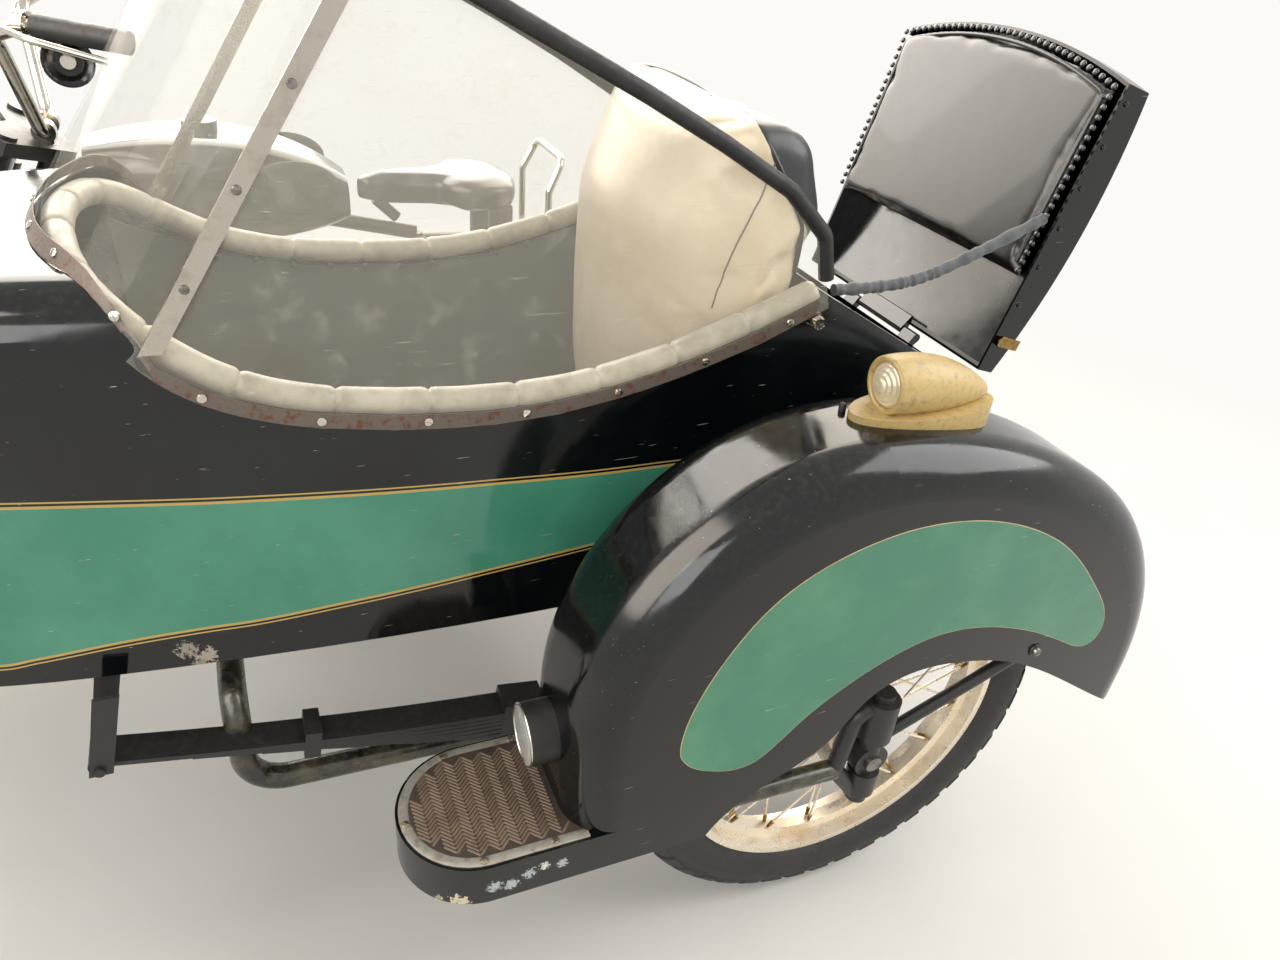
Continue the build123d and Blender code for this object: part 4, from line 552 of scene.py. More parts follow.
@dataclass(frozen=True)
class Finish:
    """A real material and how its surface was made, as colours, gloss and relief."""

    name: str
    colour: str
    second: str
    rough: float
    metallic: float = 0.0
    rough_swing: float = 0.08
    blotch_mm: float = 70.0
    blotch_from: float = 0.45
    blotch_to: float = 0.7
    grain_mm: float = 1.2
    grain_depth_mm: float = 0.02
    scratch: str = ""
    scratch_from: float = 0.7
    scratch_fade: float = 0.04
    dust: float = 0.0
    dust_colour: str = "#cfc6b6"
    coat: float = 0.0
    sheen: float = 0.0
    chips: tuple[tuple[Point, float, str], ...] = ()

    def tint(self, graph: Graph) -> Socket:
        """The surface's own colour before scratches and dust."""
        share = graph.patches(self.blotch_mm, self.blotch_from, self.blotch_to)
        return graph.mix(share, self.colour, self.second)

    def relief(self, graph: Graph) -> Socket:
        """The surface's height, 0 to 1 of the grain's depth."""
        return graph.noise(graph.where, 1000 / self.grain_mm, 4.0)

    def wear(self, graph: Graph, colour: Socket) -> Socket:
        """Adds thin scratches along one direction, chips at their places and dust on what faces up.

        Args:
            graph: The material's nodes.
            colour: The colour so far.

        Returns:
            The worn colour's socket.
        """
        if self.scratch:
            limits = (self.scratch_from, self.scratch_from + self.scratch_fade)
            line = graph.streaks((0.5, 0.35, 0.6), (22, 500, 500), 1.5, limits)
            colour = graph.mix(line, colour, self.scratch)
        for place, radius, bare in self.chips:
            far = graph.add("VectorMath", {0: graph.where, 1: place}, operation="DISTANCE").outputs["Value"]
            ragged = graph.noise(graph.where, 2.4 / radius, 6.0, Roughness=0.7)
            reach = graph.span(ragged, 0.34, 0.6, (0.0, radius * 1.25))
            colour = graph.mix(graph.math("LESS_THAN", far, reach), colour, bare)
        if self.dust:
            share = graph.math("MULTIPLY", graph.facing("Z"), graph.patches(9.0, 0.48, 0.75), clamp=True)
            colour = graph.mix(graph.math("MULTIPLY", share, self.dust), colour, self.dust_colour)
        return colour

    def shade(self, graph: Graph) -> bpy.types.Node:
        """The main shader, its roughness swung up and down in patches a third of the blotches' size."""
        swing = (max(0.02, self.rough - self.rough_swing), min(1.0, self.rough + self.rough_swing))
        sockets: Wires = {
            "Base Color": self.wear(graph, self.tint(graph)),
            "Roughness": graph.span(graph.patches(self.blotch_mm / 3, 0.35, 0.65), 0.0, 1.0, swing),
            "Metallic": self.metallic,
            "Coat Weight": self.coat,
            "Coat Roughness": 0.04,
            "Sheen Weight": self.sheen,
        }
        if self.grain_depth_mm:
            bump = {"Height": self.relief(graph), "Distance": self.grain_depth_mm / 1000, "Strength": 1.0}
            sockets["Normal"] = graph.add("Bump", bump).outputs[0]
        return graph.add("BsdfPrincipled", sockets)

    def make(self) -> bpy.types.Material:
        """Builds the node material once.

        Returns:
            The material, named for what it is.
        """
        found = bpy.data.materials.get(self.name)
        if found:
            return found
        material = bpy.data.materials.new(self.name)
        graph = Graph(material)
        graph.add("OutputMaterial", {"Surface": self.shade(graph).outputs[0]})
        return material


@dataclass(frozen=True)
class FlashPaint(Finish):
    """Black coach enamel with a green flash along the body's side, edged with two gold pin lines."""

    flash: str = "#3d8068"
    flash_second: str = "#519479"
    gold: str = "#b79a55"
    # where the outer fine line, the black gap, the inner line and the green begin, in metres inside the edge
    lines: tuple[float, ...] = (-0.0085, -0.0065, -0.0035, 0.0)
    # the bare steel of the body's inside
    inside: str = "#1b1b1a"
    inside_second: str = "#332f29"
    # the flash's ends along X and the range of its edges' heights, in metres
    ends: Pair = (-0.66, 0.92)
    heights: Pair = (0.5, 0.9)
    rear: float = -0.62
    # the flash's edges, X and Z in millimetres in the body's frame
    upper: tuple[Pair, ...] = (
        (-70, 684), (60, 688), (222, 697), (332, 700), (459, 706), (575, 711), (683, 717), (783, 723),
        (877, 730), (966, 736), (1050, 740), (1150, 738), (1300, 718), (1490, 690),
    )
    lower: tuple[Pair, ...] = (
        (-70, 676), (60, 640), (190, 614), (325, 598), (458, 585), (558, 574), (664, 564), (743, 557),
        (808, 555), (881, 550), (974, 538), (1014, 532), (1150, 548), (1300, 596), (1490, 668),
    )

    def edge(self, graph: Graph, along: Socket, line: tuple[Pair, ...]) -> Socket:
        """The height of one edge of the flash over the body's length, as a drawn curve.

        Args:
            graph: The material's nodes.
            along: The share of the body's length.
            line: The edge's points.

        Returns:
            The height in metres.
        """
        curve = graph.add("FloatCurve", {"Factor": 1.0, "Value": along})
        points = curve.mapping.curves[0].points
        low, high = self.heights
        marks = []
        for x, z in line:
            share = ((x + WHEEL_FOOT[0]) / 1000 - self.ends[0]) / (self.ends[1] - self.ends[0])
            marks.append((min(1.0, max(0.0, share)), (z / 1000 - low) / (high - low)))
        while len(points) < len(marks):
            points.new(0.5, 0.5)
        for spot, mark in zip(points, marks):
            spot.location = mark
        curve.mapping.update()
        return graph.span(curve.outputs[0], 0.0, 1.0, self.heights)

    def tint(self, graph: Graph) -> Socket:
        """Black outside, then gold, black and gold lines, then green inside the flash."""
        colour = black = Finish.tint(self, graph)
        axes = graph.axes(graph.where)
        along = graph.span(axes["X"], *self.ends)
        down = graph.math("SUBTRACT", self.edge(graph, along, self.upper), axes["Z"])
        rise = graph.math("SUBTRACT", axes["Z"], self.edge(graph, along, self.lower))
        front = graph.math("SUBTRACT", axes["X"], self.rear)
        depth = graph.math("MINIMUM", graph.math("MINIMUM", down, rise), front)
        green = graph.mix(graph.patches(160, 0.4, 0.75), self.flash, self.flash_second)
        for limit, paint in zip(self.lines, (self.gold, black, self.gold, green)):
            colour = graph.mix(graph.math("GREATER_THAN", depth, limit), colour, paint)
        # the outer skin faces away from the body's middle plane, the bare inside faces it
        bare = graph.mix(graph.patches(60, 0.4, 0.7), self.inside, self.inside_second)
        off = graph.math("SUBTRACT", axes["Y"], BODY_MIDDLE / 1000)
        outward = graph.math("MULTIPLY", graph.facing("Y"), off)
        return graph.mix(graph.math("LESS_THAN", outward, -0.002), colour, bare)


@dataclass(frozen=True)
class ScreenSheet(Finish):
    """Clear bent sheet, yellowed and scratched, seen through but for haze and scuffs."""

    haze: float = 0.1
    scuff: float = 0.14

    def shade(self, graph: Graph) -> bpy.types.Node:
        """Clear by alpha, with more of it in scuffs and long scratches."""
        shader = Finish.shade(self, graph)
        scratches = graph.streaks((0.2, 0.9, 0.3), (16, 420, 420), 2.0, (0.7, 0.8), 0.3)
        cover = graph.math("ADD", graph.math("MULTIPLY", graph.patches(34, 0.55, 0.9), self.scuff), self.haze)
        graph.tree.links.new(graph.math("ADD", cover, scratches, clamp=True), shader.inputs["Alpha"])
        return shader


@dataclass(frozen=True)
class MeshGlass(Finish):
    """Reflector glass backed with small prisms that look like white mesh, with grey between them."""

    prism_mm: float = 2.0

    def relief(self, graph: Graph) -> Socket:
        """Rows of prisms."""
        cells = {"Vector": graph.where, "Scale": 1000 / self.prism_mm, "Randomness": 0.0}
        return graph.add("TexVoronoi", cells, distance="CHEBYCHEV").outputs["Distance"]

    def tint(self, graph: Graph) -> Socket:
        """White with grey between the prisms."""
        return graph.mix(self.relief(graph), self.colour, self.second)


@dataclass(frozen=True)
class SquabLeather(Finish):
    """Seat leather: grey-beige in front of the seam, and near-black behind it."""

    behind: str = "#292b2d"
    # the seam's leaning plane: how far X moves for a metre of Z and of distance from the middle, and X at 0
    seam_rise: float = 0.706
    seam_splay: float = 0.33
    seam_x: float = -1.2899
    # what faces further back than this X of its normal is dark too
    rear_facing: float = -0.72

    def tint(self, graph: Graph) -> Socket:
        """Front leather, changed to the dark back at a leaning plane and on the whole rear."""
        axes = graph.axes(graph.where)
        off = graph.math("ABSOLUTE", graph.math("SUBTRACT", axes["Y"], BODY_MIDDLE / 1000))
        lean = graph.math("MULTIPLY_ADD", axes["Z"], -self.seam_rise, axes["X"])
        lean = graph.math("MULTIPLY_ADD", off, -self.seam_splay, lean)
        over = graph.math("LESS_THAN", lean, self.seam_x)
        rear = graph.math("LESS_THAN", graph.facing("X"), self.rear_facing)
        return graph.mix(graph.math("MAXIMUM", over, rear), Finish.tint(self, graph), self.behind)


@dataclass(frozen=True)
class FadingFloor(Finish):
    """Plain plaster that is whole out to one radius and gone at another, in metres."""

    reach: Pair = (1.5, 3.4)

    def shade(self, graph: Graph) -> bpy.types.Node:
        """The plaster, changed to clear between the two radii."""
        shader = Finish.shade(self, graph)
        far = graph.add("VectorMath", {0: graph.where}, operation="LENGTH").outputs["Value"]
        cover = graph.span(far, *self.reach, (1.0, 0.0), interpolation_type="SMOOTHSTEP")
        graph.tree.links.new(cover, shader.inputs["Alpha"])
        return shader


def bare_spots(
    frame: Callable[[float, float, float], Vector], *rows: tuple[float, float, float, float, str]
) -> tuple[tuple[Point, float, str], ...]:
    """Chips from rows of X, Y and Z in a frame's millimetres, radius in metres, and the colour laid bare."""
    return tuple((tuple(frame(x, y, z)), radius, bare) for x, y, z, radius, bare in rows)


class Stock:
    """The finishes that the outfit is made of."""

    # coach enamel, sprayed and polished: deep black with hard reflections, brownish where the floor lights it
    ENAMEL = Finish(
        "black_coach_enamel", "#06090b", "#0f1211", 0.14, rough_swing=0.05, blotch_mm=130, grain_mm=18,
        grain_depth_mm=0.05, scratch="#a59d8e", scratch_from=0.75, dust=0.04,
    )
    FLASH = FlashPaint(
        "coach_enamel_with_green_flash", "#06090b", "#0f1413", 0.1, rough_swing=0.05, blotch_mm=150,
        grain_mm=20, grain_depth_mm=0.05, scratch="#a59d8e", scratch_from=0.75, dust=0.035,
        chips=bare_spots(
            body, (826, 254, 524, 0.013, "#8f867a"), (806, 255, 512, 0.013, "#9d9384"),
            (816, 255, 500, 0.008, "#8d8274"), (1003, 236, 741, 0.006, "#8a3b2c"),
        ),
    )
    # the footboard's sides, kicked down to the cream primer and bare steel
    BOARD = replace(
        ENAMEL, name="chipped_footboard_enamel",
        chips=bare_spots(
            chair, (572, 92, 290, 0.013, "#cfc3a3"), (590, 74, 288, 0.007, "#cfc3a3"),
            (532, 100, 311, 0.010, "#aab0b1"), (510, 100, 306, 0.009, "#aab0b1"),
            (488, 100, 316, 0.009, "#aab0b1"), (470, 100, 322, 0.007, "#d8d4c8"),
            (448, 100, 318, 0.008, "#aab0b1"),
        ),
    )
    # the mudguard panel's own enamel, one flat green
    GREEN = Finish(
        "green_panel_enamel", "#427e63", "#558e6f", 0.16, blotch_mm=160, grain_mm=16, grain_depth_mm=0.05,
        scratch="#9fc0ae", scratch_from=0.755,
    )
    GOLD = Finish("gold_lining_paint", "#c4b07c", "#a08d5e", 0.35, blotch_mm=30, grain_depth_mm=0.01)
    # brushed-on chassis black: thin, satin, rubbed through to grey and brown
    CHASSIS = Finish(
        "brushed_chassis_black", "#232323", "#302c26", 0.42, rough_swing=0.05, blotch_mm=60, blotch_from=0.5,
        blotch_to=0.8, grain_mm=3.2, grain_depth_mm=0.03, scratch="#57524a", scratch_from=0.76, dust=0.03,
    )
    OLIVE = Finish(
        "faded_olive_tube_paint", "#1b1b18", "#5b533c", 0.3, rough_swing=0.12, blotch_mm=60,
        blotch_from=0.42, blotch_to=0.72, grain_mm=3.0, grain_depth_mm=0.05, scratch="#8d8468",
        scratch_from=0.71, dust=0.15, coat=0.3,
    )
    CHROME = Finish(
        "old_chrome_plate", "#c9c3b8", "#8c7a62", 0.16, metallic=1.0, rough_swing=0.1, blotch_mm=22,
        blotch_from=0.55, blotch_to=0.78, grain_mm=1.5, grain_depth_mm=0.015, dust=0.1,
    )
    RIM = Finish(
        "dull_plated_rim", "#f6ead6", "#d8c2a2", 0.3, metallic=0.65, rough_swing=0.06, blotch_mm=60,
        blotch_from=0.5, blotch_to=0.8, grain_mm=4.0, grain_depth_mm=0.02,
    )
    STEEL = Finish(
        "plain_turned_steel", "#8d8a84", "#4d4740", 0.34, metallic=1.0, blotch_mm=12, grain_depth_mm=0.02
    )
    ALLOY = Finish(
        "sand_cast_alloy", "#8f8f8a", "#4a463e", 0.46, metallic=1.0, rough_swing=0.14, blotch_mm=34,
        blotch_from=0.5, grain_mm=1.6, grain_depth_mm=0.12, dust=0.1,
    )
    BARE_ALLOY = Finish(
        "polished_alloy_strip", "#bab3a8", "#a49b8e", 0.24, metallic=1.0, blotch_mm=30, blotch_from=0.55,
        blotch_to=0.8, grain_mm=1.5, grain_depth_mm=0.02, scratch="#e5ded0", scratch_from=0.76,
    )
    IRON = Finish(
        "black_cast_iron", "#1c1c1c", "#3a332b", 0.62, blotch_mm=26, grain_mm=1.4, grain_depth_mm=0.14
    )
    DULL_STEEL = Finish(
        "grey_screw_steel", "#a89f8c", "#5d5242", 0.38, metallic=0.9, blotch_mm=8, grain_depth_mm=0.02
    )
    BRASS = Finish(
        "tarnished_brass", "#9b7c43", "#5c4726", 0.34, metallic=1.0, blotch_mm=6, grain_depth_mm=0.02
    )
    TYRE = Finish(
        "worn_tyre_rubber", "#242424", "#2f2c29", 0.62, rough_swing=0.06, blotch_mm=80, blotch_from=0.4,
        grain_mm=1.3, grain_depth_mm=0.03, dust=0.05,
    )
    RUBBER = Finish("moulded_black_rubber", "#151515", "#2a2724", 0.55, blotch_mm=30, grain_depth_mm=0.04)
    MAT = Finish(
        "brown_rubber_matting", "#3d3026", "#2a211a", 0.7, blotch_mm=30, grain_depth_mm=0.1, dust=0.04
    )
    # the ribs' rubber, coloured much lighter than the mat's rubber between them
    MAT_RIB = Finish("light_brown_rubber_ribs", "#87705c", "#6b5746", 0.6, blotch_mm=35, grain_depth_mm=0.05)
    TRIM = Finish(
        "painted_alloy_trim", "#b5aea3", "#8d8375", 0.42, metallic=0.35, rough_swing=0.12, blotch_mm=12,
        blotch_from=0.5, blotch_to=0.72, grain_mm=1.6, grain_depth_mm=0.05, dust=0.1,
    )
    RUST = Finish(
        "rusted_tinned_strip", "#665c53", "#623c2c", 0.55, metallic=0.25, rough_swing=0.18, blotch_mm=9,
        blotch_from=0.52, blotch_to=0.64, grain_mm=1.5, grain_depth_mm=0.1, dust=0.05,
    )
    SHEET = ScreenSheet("clear_screen_sheet", "#f3eedd", "#e3d9bd", 0.05, blotch_mm=220, grain_depth_mm=0.0)
    LINING = Finish(
        "dark_cockpit_leathercloth", "#54564f", "#66655a", 0.5, rough_swing=0.03, blotch_mm=120,
        blotch_from=0.45, grain_mm=2.2, grain_depth_mm=0.2, scratch="#7d7868", scratch_from=0.76, sheen=0.1,
    )
    ROLL = Finish(
        "grey_beige_coaming_leather", "#bdb49f", "#918874", 0.4, rough_swing=0.12, blotch_mm=45,
        blotch_from=0.42, grain_mm=2.4, grain_depth_mm=0.14, scratch="#d8d0be", scratch_from=0.74,
        sheen=0.1, dust=0.1,
    )
    SQUAB = SquabLeather(
        "grey_beige_seat_leather", "#ecdaba", "#d8c5a3", 0.34, rough_swing=0.05, blotch_mm=160, grain_mm=2.0,
        grain_depth_mm=0.12, sheen=0.1, dust=0.05,
    )
    SEAT = Finish(
        "worn_brown_grey_leather", "#6d6253", "#4b4238", 0.45, blotch_mm=60, grain_mm=2.0,
        grain_depth_mm=0.15, sheen=0.1,
    )
    BLACK_CLOTH = Finish(
        "black_leathercloth", "#101112", "#201e1c", 0.32, rough_swing=0.02, blotch_mm=60, grain_mm=2.6,
        grain_depth_mm=0.1, coat=0.25,
    )
    STRAP = Finish(
        "gathered_grey_cloth", "#5d5f61", "#3c3d3f", 0.75, blotch_mm=14, grain_mm=1.2, grain_depth_mm=0.3,
        sheen=0.3
    )
    CREAM = Finish(
        "aged_cream_enamel", "#c6ab70", "#9d854f", 0.4, rough_swing=0.15, blotch_mm=9, blotch_from=0.5,
        blotch_to=0.72, grain_mm=2.0, grain_depth_mm=0.1, scratch="#d9c79a", scratch_from=0.76, dust=0.15,
    )
    LENS = Finish(
        "pressed_lamp_glass", "#eadcbd", "#d5c194", 0.1, blotch_mm=18, grain_depth_mm=0.01, coat=1.0
    )
    REFLECTOR = MeshGlass(
        "prismatic_reflector_glass", "#f4f2ee", "#bcb6af", 0.22, grain_depth_mm=0.3, coat=1.0
    )
    PLATE = Finish("plain_white_plate_enamel", "#d9d6cc", "#bdb8ab", 0.3, blotch_mm=25, dust=0.1)
    FLOOR = FadingFloor("plain_floor_plaster", "#e3dfd8", "#dedad2", 0.7, blotch_mm=900, grain_depth_mm=0)


# the CAD nodes that each finish goes on, where they stay as they are; any other is chassis black
NODE_FINISHES: tuple[tuple[Finish, str], ...] = (
    (Stock.ENAMEL, "sidecar_mudguard luggage_lid front_mudguard rear_mudguard fuel_tank oil_tank headlamp"),
    (Stock.ENAMEL, "chain_guard tail_lamp"),
    (Stock.CHROME, "handlebar levers exhaust grab_handle"),
    (Stock.RIM, "front_wheel rear_wheel sidecar_wheel"),
    (Stock.STEEL, "front_axle rear_axle sidecar_axle drive_chain"),
    (Stock.ALLOY, "engine_case cylinder_head carburettor"),
    (Stock.RUBBER, "grips reflector screen_rail"),
    (Stock.TYRE, "front_tyre rear_tyre sidecar_tyre"),
    (Stock.BLACK_CLOTH, "seat_back seat_cushion saddle lid_pad"),
    (Stock.BOARD, "footboard"),
    (Stock.FLASH, "sidecar_body"),
    (Stock.OLIVE, "sidecar_frame"),
    (Stock.IRON, "cylinder"),
    (Stock.SHEET, "windscreen"),
    (Stock.BARE_ALLOY, "screen_ribs"),
    (Stock.ROLL, "cockpit_coaming"),
    (Stock.MAT, "footboard_mat"),
    (Stock.CREAM, "marker_lamp"),
    (Stock.LENS, "marker_lens"),
    (Stock.STRAP, "lid_strap"),
    (Stock.PLATE, "number_plate"),
)


def dress_frame() -> None:
    """Gives each CAD node its finish."""
    chosen = {node: finish for finish, nodes in NODE_FINISHES for node in nodes.split()}
    for name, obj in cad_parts.items():
        material = chosen.get(name, Stock.CHASSIS).make()
        for slot in obj.material_slots:
            slot.material = material
        if not obj.material_slots:
            obj.data.materials.append(material)
    LOG.info("dressed %d CAD nodes", len(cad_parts))


# studio


@dataclass
class Studio:
    """The camera of the photograph, a plain pale floor and soft lamps."""

    eye: Point = (0.1372, 1.4751, 1.3260)
    # turns in radians
    yaw: float = -0.442664713
    pitch: float = 0.555772396
    roll: float = 0.098177851
    lens_mm: float = 26.994
    sensor_mm: float = 36.0
    # place, aim, width and height in metres, watts
    lamps: tuple[tuple[Point, Point, Pair, float], ...] = (
        ((-3.4, 1.6, 3.2), (-0.3, 0.3, 0.5), (3.2, 3.2), 135.0),
        ((2.6, 3.6, 2.6), (0.0, 0.2, 0.5), (2.2, 2.2), 75.0),
        ((0.6, -3.2, 3.0), (0.0, 0.0, 0.6), (3.0, 3.0), 85.0),
    )
    # bright, slightly warm cards that only glossy surfaces mirror, like tall windows
    cards: tuple[tuple[Point, Point, Pair, float], ...] = (
        ((-0.9, -3.0, 2.8), (-0.9, 0.6, 1.0), (7.6, 3.8), 500.0),
        ((2.4, 0.8, 2.6), (-0.3, 0.69, 0.72), (3.0, 3.0), 190.0),
    )
    card_colour: str = "#fff4e4"
    room_colour: str = "#fcfaf6"
    # how bright the room is to diffuse surfaces, and to the camera and mirrors
    room_strength: Pair = (0.62, 1.0)

    def set_camera(self) -> None:
        """Places the camera at the photograph's viewpoint, with its small roll."""
        flat = math.cos(self.pitch)
        ahead = Vector((flat * math.sin(self.yaw), -flat * math.cos(self.yaw), -math.sin(self.pitch)))
        level = Vector((-math.cos(self.yaw), -math.sin(self.yaw), 0.0))
        rise = level.cross(ahead)
        right = level * math.cos(self.roll) + rise * math.sin(self.roll)
        up = rise * math.cos(self.roll) - level * math.sin(self.roll)
        turn = Matrix((right, up, -ahead)).transposed().to_4x4()
        data = bpy.data.cameras.new("photo_camera")
        data.lens = self.lens_mm
        data.sensor_width = self.sensor_mm
        data.clip_start = 0.02
        camera = bpy.data.objects.new("photo_camera", data)
        camera.matrix_world = Matrix.Translation(self.eye) @ turn
        bpy.context.collection.objects.link(camera)
        bpy.context.scene.camera = camera

    def lay_floor(self) -> None:
        """Lays the pale floor, which isn't part of the object and fades out into the white beyond it."""
        floor = primitive("circle", vertices=96, radius=Stock.FLOOR.reach[1], fill_type="NGON")
        floor.name = "pale_floor"
        floor.data.materials.append(Stock.FLOOR.make())

    def light(self) -> None:
        """Hangs the lamps, and a pale world that stays white behind the object."""
        for number, (place, target, size, power) in enumerate((*self.lamps, *self.cards)):
            is_card = number >= len(self.lamps)
            data = bpy.data.lights.new(f"soft_lamp_{number}", "AREA")
            data.shape = "RECTANGLE"
            data.size, data.size_y = size
            data.energy = power
            if is_card:
                data.color = linear(self.card_colour)[:3]
            lamp = bpy.data.objects.new(f"soft_lamp_{number}", data)
            lamp.matrix_world = aim(Vector(place), Vector(place) - Vector(target))
            lamp.visible_camera = False
            lamp.visible_diffuse = not is_card
            bpy.context.collection.objects.link(lamp)
        world = bpy.data.worlds.new("pale_room")
        bpy.context.scene.world = world
        graph = Graph(world)
        path = graph.add("LightPath").outputs
        seen = graph.math("MAXIMUM", path["Is Camera Ray"], path["Is Glossy Ray"])
        seen = graph.math("MAXIMUM", seen, path["Is Transmission Ray"])
        strength = graph.span(seen, 0.0, 1.0, self.room_strength)
        back = graph.add("Background", {"Color": linear(self.room_colour), "Strength": strength})
        graph.add("OutputWorld", {"Surface": back.outputs[0]})

    def build(self) -> None:
        """Sets up the whole studio."""
        bpy.context.scene.view_settings.view_transform = "Standard"
        self.set_camera()
        self.lay_floor()
        self.light()


# soft work


@dataclass(frozen=True)
class Stuffing:
    """How a soft piece is filled, with lengths in metres."""

    # how far its skin starts inside the solid, and the furthest that a point of it may move
    shrink: float
    cap: float
    pressure: float
    # how full the padding is
    fill: float


@dataclass
class Upholstery:
    """Stuffed pieces, swelled from their CAD solids by cloth under a little pressure."""

    voxel: float = 0.007
    frames: int = 20

    def swell_skin(self, piece: Object, stuffing: Stuffing) -> None:
        """Blows up a piece's skin as cloth.

        Args:
            piece: The piece.
            stuffing: What fills it.
        """
        start = [vertex.co.copy() for vertex in piece.data.vertices]
        cloth = piece.modifiers.new("Cloth", "CLOTH")
        cloth.settings.quality = 5
        cloth.settings.mass = 0.3
        cloth.settings.use_pressure = True
        cloth.settings.uniform_pressure_force = stuffing.pressure
        cloth.settings.effector_weights.gravity = 0.0
        cloth.point_cache.frame_start = 1
        cloth.point_cache.frame_end = self.frames
        for frame in range(1, self.frames + 1):
            bpy.context.scene.frame_set(frame)
        take(piece)
        bpy.ops.object.modifier_apply(modifier=cloth.name)
        bpy.context.scene.frame_set(1)
        for vertex, before in zip(piece.data.vertices, start):
            move = vertex.co - before
            if move.length > stuffing.cap:
                vertex.co = before + move.normalized() * stuffing.cap
        apply_modifier(piece, "SMOOTH", factor=0.5, iterations=2)

    def stuff(
        self, name: str, node: str, finish: Finish, stuffing: Stuffing, rides: Rides = Rides.CHASSIS,
        mould: Callable[[Vector], Vector] | None = None, fine: bool = True,
    ) -> Object:
        """Makes a stuffed piece in place of a CAD solid.

        Args:
            name: The new piece's name.
            node: The CAD node that it replaces.
            finish: Its material.
            stuffing: What fills it.
            rides: The body that it moves with.
            mould: A function that moves a point of the skin before it is stuffed, if any.
            fine: Whether its faces are divided once more.

        Returns:
            The piece.
        """
        piece = bpy.data.objects.new(name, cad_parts[node].data.copy())
        bpy.context.collection.objects.link(piece)
        with editing(piece, "VERT", whole=True):
            bpy.ops.mesh.remove_doubles(threshold=0.00002)
        apply_modifier(piece, "REMESH", mode="VOXEL", voxel_size=self.voxel)
        apply_modifier(piece, "SMOOTH", factor=0.5, iterations=3)
        apply_modifier(piece, "DISPLACE", strength=-stuffing.shrink, mid_level=0.0)
        if mould is not None:
            for vertex in piece.data.vertices:
                vertex.co = mould(vertex.co)
        self.swell_skin(piece, stuffing)
        if fine:
            apply_modifier(piece, "SUBSURF", levels=1, render_levels=1)
        settle(piece, name, finish, 75, rides=rides)
        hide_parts(node)
        return piece


